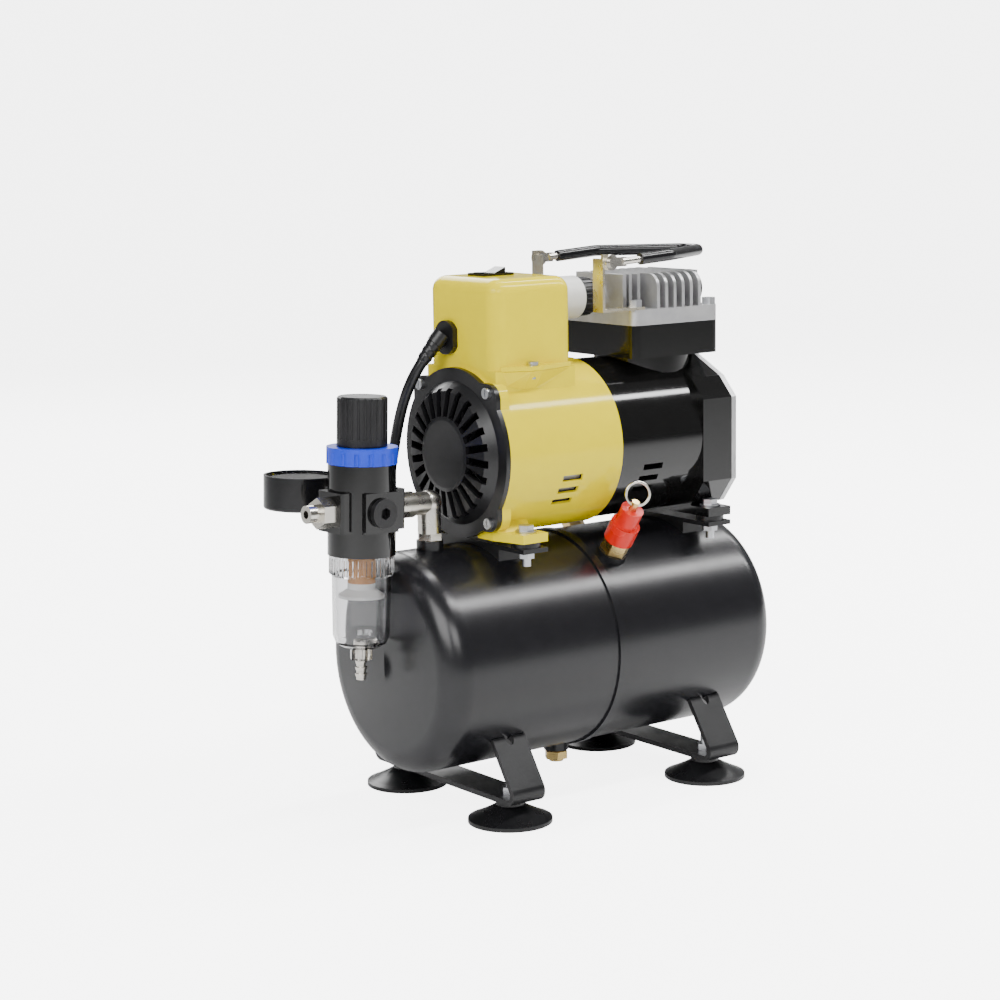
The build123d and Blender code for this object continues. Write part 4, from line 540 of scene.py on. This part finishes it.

# %% Painted shade inside the motor housing
bore_inside, bore_outside = 0.0458, 0.0462
# Inside the bore the yellow gives way to near black, a painted shade for the dark inside of the motor.
bore_shade_colour = (0.012, 0.011, 0.008)
motor_low, motor_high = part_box("rotor_core")
axis_y = (motor_low[1] + motor_high[1]) / 2
axis_z = (motor_low[2] + motor_high[2]) / 2
tree = yellow_paint.node_tree
place = tree.nodes.new("ShaderNodeSeparateXYZ")
tree.links.new(tree.nodes.new("ShaderNodeTexCoord").outputs["Object"], place.inputs["Vector"])
across = maths(tree, "SUBTRACT", place.outputs["Y"], axis_y)
up = maths(tree, "SUBTRACT", place.outputs["Z"], axis_z)
square_across = maths(tree, "MULTIPLY", across, across)
square_up = maths(tree, "MULTIPLY", up, up)
away = maths(tree, "SQRT", maths(tree, "ADD", square_across, square_up), 0)
yellow_share = ranged(tree, away, bore_inside, bore_outside, 0.0, 1.0)
colour = tree.nodes["Principled BSDF"].inputs["Base Color"]
tree.links.new(mixed_colour(tree, yellow_share, bore_shade_colour, colour.links[0].from_socket), colour)

# %% [markdown]
# ## Bare and plated metals
# The head is cast aluminium with a fine blasted skin. Handle, elbow and fittings are nickel plated, the
# handle's brackets are zinc plated with a yellow passivate, and nuts and valve are turned brass.

# %% Metal finishes
# The aluminium's lighter edge colour is rubbed wear and a painted highlight.
cast_aluminium = finish_of("blasted_aluminium", (0.58, 0.58, 0.58), 0.40, 0.52, metallic=0.85, tint=(0.50, 0.50, 0.51),
                           grain_scale=2600, grain_depth=0.00005, coarse=0.8, worn_and_highlight_colour=(0.85, 0.85, 0.85), wear_and_highlight=0.4)
nickel = finish_of("nickel_plate", (0.72, 0.69, 0.63), 0.20, 0.32, metallic=1.0, tint=(0.66, 0.63, 0.57),
                   grain_scale=900, grain_depth=0.00002)
zinc_yellow = finish_of("yellow_zinc_plate", (0.74, 0.70, 0.57), 0.24, 0.36, metallic=1.0, tint=(0.70, 0.62, 0.46),
                        patch=140.0)
bright_zinc = finish_of("bright_zinc_plate", (0.60, 0.61, 0.63), 0.25, 0.40, metallic=1.0)
turned_brass = finish_of("turned_brass", (0.78, 0.58, 0.24), 0.20, 0.34, metallic=1.0, tint=(0.70, 0.50, 0.20))
# The red's paler edge colour is rubbed wear and a painted highlight.
red_anodised = finish_of("red_anodised", (0.72, 0.014, 0.004), 0.22, 0.32, metallic=0.1, tint=(0.66, 0.011, 0.003),
                         worn_and_highlight_colour=(0.80, 0.25, 0.16), wear_and_highlight=0.5)
sheet_steel = finish_of("stacked_steel_sheet", (0.30, 0.30, 0.31), 0.40, 0.60, metallic=0.9)
copper = finish_of("enamelled_copper", (0.55, 0.20, 0.08), 0.25, 0.40, metallic=0.9, tint=(0.45, 0.15, 0.06))
bronze_filter = finish_of("sintered_bronze", (0.50, 0.22, 0.055), 0.55, 0.75, metallic=0.3, tint=(0.62, 0.30, 0.09),
                          grain_scale=1300, grain_depth=0.0003, coarse=0.2)

# %% [markdown]
# ## Rubber and plastics
# Feet, grip and lead are matte rubber. The fan cover, knob and gauge case are moulded black plastic, each
# with its own gloss, and the lock ring is blue.

# %% Rubber and plastic finishes
rubber = finish_of("black_rubber", (0.009, 0.009, 0.010), 0.26, 0.36, grain_scale=1800, grain_depth=0.00001, dusty=0.03)
grip_rubber = finish_of("grip_sleeve", (0.007, 0.007, 0.008), 0.16, 0.24, grain_scale=900, grain_depth=0.00001)
moulded_black = finish_of("moulded_black", (0.009, 0.009, 0.010), 0.28, 0.38, grain_scale=1600, grain_depth=0.00002)
polished_black = finish_of("polished_black", (0.006, 0.006, 0.007), 0.12, 0.18, grain_scale=600, grain_depth=0.00001)
blue_plastic = finish_of("blue_plastic", (0.012, 0.045, 0.62), 0.28, 0.38, tint=(0.014, 0.05, 0.68))
white_plastic = finish_of("white_plastic", (0.78, 0.78, 0.76), 0.35, 0.45)
dark_cup = finish_of("dark_cup_seal", (0.10, 0.06, 0.04), 0.35, 0.5)

# %% [markdown]
# ## Clear parts
# The bowl is thick polycarbonate and the gauge's window thin acrylic. Both are a plain transmissive shader,
# because a clear moulding shows its thickness by bending light, and a tinted mix could not do that.

# %% Clear finishes
def clear_finish(name, colour, roughness, index):
    """A see-through plastic."""
    made = bpy.data.materials.new(name)
    made.use_nodes = True
    shader = made.node_tree.nodes["Principled BSDF"]
    shader.inputs["Base Color"].default_value = (*colour, 1)
    shader.inputs["Roughness"].default_value = roughness
    shader.inputs["IOR"].default_value = index
    shader.inputs["Transmission Weight"].default_value = 1.0
    return made


clear_bowl = clear_finish("clear_polycarbonate", (0.93, 0.93, 0.94), 0.06, 1.45)
clear_window = clear_finish("clear_acrylic", (0.97, 0.98, 0.98), 0.02, 1.3)
print("finishes", len(bpy.data.materials))

# %% [markdown]
# ## Dressing the CAD pieces
# Each CAD node keeps its exact shape and gets its finish by name. Lists keep the pieces that share a finish
# together, so that a new piece needs one word here.

# %% Finish of each node
dressed = {
    tank_black: ["tank_front_shell", "tank_rear_shell", "tank_bosses"],
    flat_black: ["leg_straps", "motor_saddles", "gauge_needle", "port_plug"],
    gloss_black: ["crankcase", "cylinder_block", "valve_plate", "regulator_body"],
    yellow_paint: ["motor_housing", "electrical_box"],
    cast_aluminium: ["cylinder_head", "crankcase_end_plate", "crank_eccentric", "piston_rod_and_cup"],
    nickel: ["handle_bail", "handle_pins", "outlet_elbow", "outlet_fitting", "pull_ring", "bowl_drain"],
    zinc_yellow: ["handle_brackets"],
    bright_zinc: ["foot_studs_and_nuts", "mount_bolts_and_nuts", "case_screws", "head_bolts", "motor_shaft",
                  "ball_bearings", "adjusting_screw", "regulator_spring"],
    turned_brass: ["tank_drain_screw", "brass_nuts", "safety_valve_body", "safety_valve_stem", "delivery_tube"],
    red_anodised: ["safety_valve_sleeve"],
    sheet_steel: ["rotor_core"],
    rubber: ["suction_feet", "isolator_rubbers", "cord_gland", "power_plug"],
    grip_rubber: ["handle_grip"],
    moulded_black: ["fan_cover", "cooling_fan", "intake_filter", "pressure_switch", "regulator_knob"],
    polished_black: ["switch_bezel", "switch_rocker", "gauge_case"],
    blue_plastic: ["lock_ring"],
    white_plastic: ["run_capacitor"],
    clear_window: ["gauge_lens"],
}


def dress(piece, material):
    """One material on every slot of a piece."""
    piece.data.materials.clear()
    piece.data.materials.append(material)


node_objects = {}
for thing in bpy.data.objects:
    if thing.type == "MESH":
        node_objects[thing.name] = thing
for material, names in dressed.items():
    for name in names:
        dress(node_objects[name], material)
print("dressed", sum(len(names) for names in dressed.values()), "nodes by name")

# %% [markdown]
# ## Nodes made of two stuffs
# Three CAD nodes hold pieces of different stuff: the filter's sintered element and its white baffle, the clear
# bowl and its metal nut, the stator's steel and its copper windings. Each is copied as two objects in the same
# place, one with the faces that pass a test on their corners and one with the rest.

# %% Take a node apart
def two_parts(node, names, belongs):
    """Two new objects from a CAD node: the faces whose corners all pass the test, and the others."""
    source = node_objects[node].data
    sorted_faces = ([], [])
    for face in source.polygons:
        corners = [source.vertices[k].co for k in face.vertices]
        sorted_faces[0 if all(belongs(c) for c in corners) else 1].append(corners)
    made = []
    for name, faces in zip(names, sorted_faces):
        place = {}
        for c in (c for corners in faces for c in corners):
            place.setdefault(tuple(round(v, 7) for v in c), len(place))
        rows = [[place[tuple(round(v, 7) for v in c)] for c in corners] for corners in faces]
        piece = mesh_from(name, list(place), rows)
        piece.data.validate()
        piece.data.set_sharp_from_angle(angle=math.radians(32))
        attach(piece, "chassis")
        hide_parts(node)
        print(name, len(piece.data.polygons), "faces")
        made.append(piece)
    return made


def middle_of(node):
    """The middle of a node's box."""
    low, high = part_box(node)
    return (Vector(low) + Vector(high)) / 2


# %% Filter, bowl and stator
element_low = 0.1353
element, baffle = two_parts("filter_element", ("sintered_element", "baffle_disc"), lambda c: c.z > element_low)
dress(element, bronze_filter)
dress(baffle, white_plastic)
bowl_lean = 0.0014        # the bowl leans, so its foot stands this far from the middle of its box
bowl_middle = middle_of("filter_bowl")
bowl_middle.x += bowl_lean
nut_reach = 0.0082
drain_nut, bowl = two_parts(
    "filter_bowl", ("bowl_drain_nut", "clear_bowl"),
    lambda c: math.hypot(c.x - bowl_middle.x, c.y - bowl_middle.y) < nut_reach and c.z < bowl_middle.z,
)
dress(drain_nut, nickel)
dress(bowl, clear_bowl)
stack_low, stack_high = -0.0024, 0.0276
winding_reach = 0.0412
stack_skin = 0.0001


def on_winding(c):
    """Whether a corner is on one of the copper rings outside the steel stack."""
    beside = not stack_low + stack_skin < c.x < stack_high - stack_skin
    return beside and math.hypot(c.y - axis_y, c.z - axis_z) < winding_reach


windings, stack = two_parts("stator", ("motor_windings", "stator_stack"), on_winding)
dress(windings, copper)
dress(stack, sheet_steel)

# %% [markdown]
# ## Seats under the box's ears
# The wiring box is screwed down through two pointed ears. Under each ear the housing has a cast seat of the
# same outline that tapers back into the motor's round side, so the screw never stands in the air.

# %% Ear seats
box_low, box_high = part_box("electrical_box")
ear_low_x, ear_high_x = box_low[0] + 0.004, box_high[0] - 0.003
ear_tip_x = moved.x - 0.041
ear_tip_half = 0.004
seat_taper = 0.35
seat_root, seat_side, seat_tip, seat_drop = 0.0280, 0.0320, 0.0398, 0.0110
pad_level = 0.247
for side, name in ((-1, "near_ear_seat"), (1, "far_ear_seat")):
    outline = [(ear_low_x, seat_root), (ear_low_x, seat_side), (ear_tip_x - ear_tip_half, seat_tip),
               (ear_tip_x + ear_tip_half, seat_tip), (ear_high_x, seat_side), (ear_high_x, seat_root)]
    upper = [(x, moved.y + side * y, pad_level - 0.0001) for x, y in outline]
    tapered = [(x, seat_root + seat_taper * (y - seat_root)) for x, y in outline]
    lower = [(x, moved.y + side * y, pad_level - seat_drop) for x, y in tapered]
    count = len(outline)
    walls = [(k, (k + 1) % count, count + (k + 1) % count, count + k) for k in range(count)]
    faces = [tuple(range(count)), tuple(reversed(range(count, 2 * count))), *[tuple(reversed(w)) for w in walls]]
    if side > 0:
        faces = [tuple(reversed(f)) for f in faces]
    seat = mesh_from(name, upper + lower, faces, smooth=False)
    soft = seat.modifiers.new("rounding", "BEVEL")
    soft.width = 0.0008
    soft.segments = 3
    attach(seat, "chassis")
    dress(seat, yellow_paint)
print("ear seats at", pad_level)

# %% [markdown]
# ## The dial and the switch's label
# The gauge's face is a white printed disc under the window, with ticks over three quarters of a turn. The
# pressure switch wears a plain white band.

# %% Ring helper
def ring_about(name, centre, direction, profile, sides=96):
    """A closed ring: a profile of (distance along, radius) pairs turned about an axis."""
    turn = Vector(direction).normalized().to_track_quat("Z", "Y")
    vertices = []
    for k in range(sides):
        a = 2 * math.pi * k / sides
        for along, radius in profile:
            vertices.append(Vector(centre) + turn @ Vector((radius * math.cos(a), radius * math.sin(a), along)))
    count = len(profile)
    faces = []
    for k in range(sides):
        for j in range(count):
            a, b = k * count + j, k * count + (j + 1) % count
            c, d = (k + 1) % sides * count + (j + 1) % count, (k + 1) % sides * count + j
            faces.append((a, d, c, b))
    made = mesh_from(name, vertices, faces)
    made.data.set_sharp_from_angle(angle=math.radians(40))
    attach(made, "chassis")
    return made


# %% Switch label
switch_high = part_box("pressure_switch")[1]
label_in, label_out = 0.01219, 0.01232
label_from, label_to = switch_high[0] - 0.0300, switch_high[0] - 0.0088
switch_middle = middle_of("pressure_switch")
label_ring = ring_about(
    "switch_label", (0, switch_middle.y, switch_middle.z), (1, 0, 0),
    [(label_from, label_in), (label_from, label_out), (label_to, label_out), (label_to, label_in)],
)
dress(label_ring, white_plastic)

# %% Gauge face
dial_up = Vector((0.034852, 0.001826, 0.999391))
dial_spot = Vector((-0.110929, 0.053398, 0.181112))
dial_reach = 0.0191
dial_hole = 0.0012
face_low, face_high = 0.0001, 0.0004
face_profile = [(face_low, dial_hole), (face_high, dial_hole), (face_high, dial_reach), (face_low, dial_reach)]
face_ring = ring_about("gauge_face", dial_spot, dial_up, face_profile)
dress(face_ring, white_plastic)

# %% Ticks and figures
dial_turn = math.radians(3)
ahead = Vector((math.cos(dial_turn), math.sin(dial_turn), 0))
dial_right = ahead.cross(dial_up).cross(dial_up) * -1
dial_right.normalize()
dial_away = dial_up.cross(dial_right)
tick_height = 0.00045


def dial_point(degrees, reach, aside=0.0):
    """A point on the dial at an angle, a reach from its middle and a step aside."""
    a = math.radians(degrees)
    out = dial_right * math.cos(a) + dial_away * math.sin(a)
    across = dial_away * math.cos(a) - dial_right * math.sin(a)
    return dial_spot + out * reach + across * aside + dial_up * tick_height


tick_points = []
tick_faces = []
for k in range(61):
    degrees = 225 - 4.5 * k
    long_tick = k % 10 == 0
    inner = 0.0142 if long_tick else (0.0158 if k % 5 == 0 else 0.0166)
    half = 0.00028 if long_tick else 0.00014
    first = len(tick_points)
    tick_points += [dial_point(degrees, inner, -half), dial_point(degrees, 0.0180, -half),
                    dial_point(degrees, 0.0180, half), dial_point(degrees, inner, half)]
    tick_faces.append((first, first + 1, first + 2, first + 3))
ticks = mesh_from("gauge_ticks", tick_points, tick_faces, smooth=False)
printed = [ticks]
for k in range(7):
    words = bpy.data.curves.new(f"gauge_figure_{k}", "FONT")
    words.body = str(2 * k)
    words.size = 0.0040
    words.align_x = "CENTER"
    words.align_y = "CENTER"
    figure = add(f"gauge_figure_{k}", words)
    turn = Matrix((dial_right, dial_away, dial_up)).transposed().to_4x4()
    figure.matrix_world = Matrix.Translation(dial_point(225 - 45 * k, 0.0112)) @ turn
    printed.append(figure)
for mark in printed:
    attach(mark, "chassis")
    dress(mark, moulded_black)
print("dial marks", len(printed))

# %% Finish of the lead
dress(mains_lead, rubber)
dress(strain_relief, rubber)
dress(coil_tie, moulded_black)

# %% [markdown]
# ## The paper of the studio
# White paper in a product picture is lit harder than the object on it. A glow that only the eye's own rays
# find makes it white without spilling light on the black paint, which would turn grey.

# %% Studio paper
paper = bpy.data.materials.new("studio_paper")
paper.use_nodes = True
paper_shader = paper.node_tree.nodes["Principled BSDF"]
paper_shader.inputs["Base Color"].default_value = (0.92, 0.92, 0.92, 1)
paper_shader.inputs["Roughness"].default_value = 0.9
paper_shader.inputs["Emission Color"].default_value = (1.0, 1.0, 1.0, 1)
paper_glow = 5.0
seen = paper.node_tree.nodes.new("ShaderNodeLightPath").outputs["Is Camera Ray"]
glow = maths(paper.node_tree, "MULTIPLY", seen, paper_glow)
paper.node_tree.links.new(glow, paper_shader.inputs["Emission Strength"])
dress(sweep, paper)
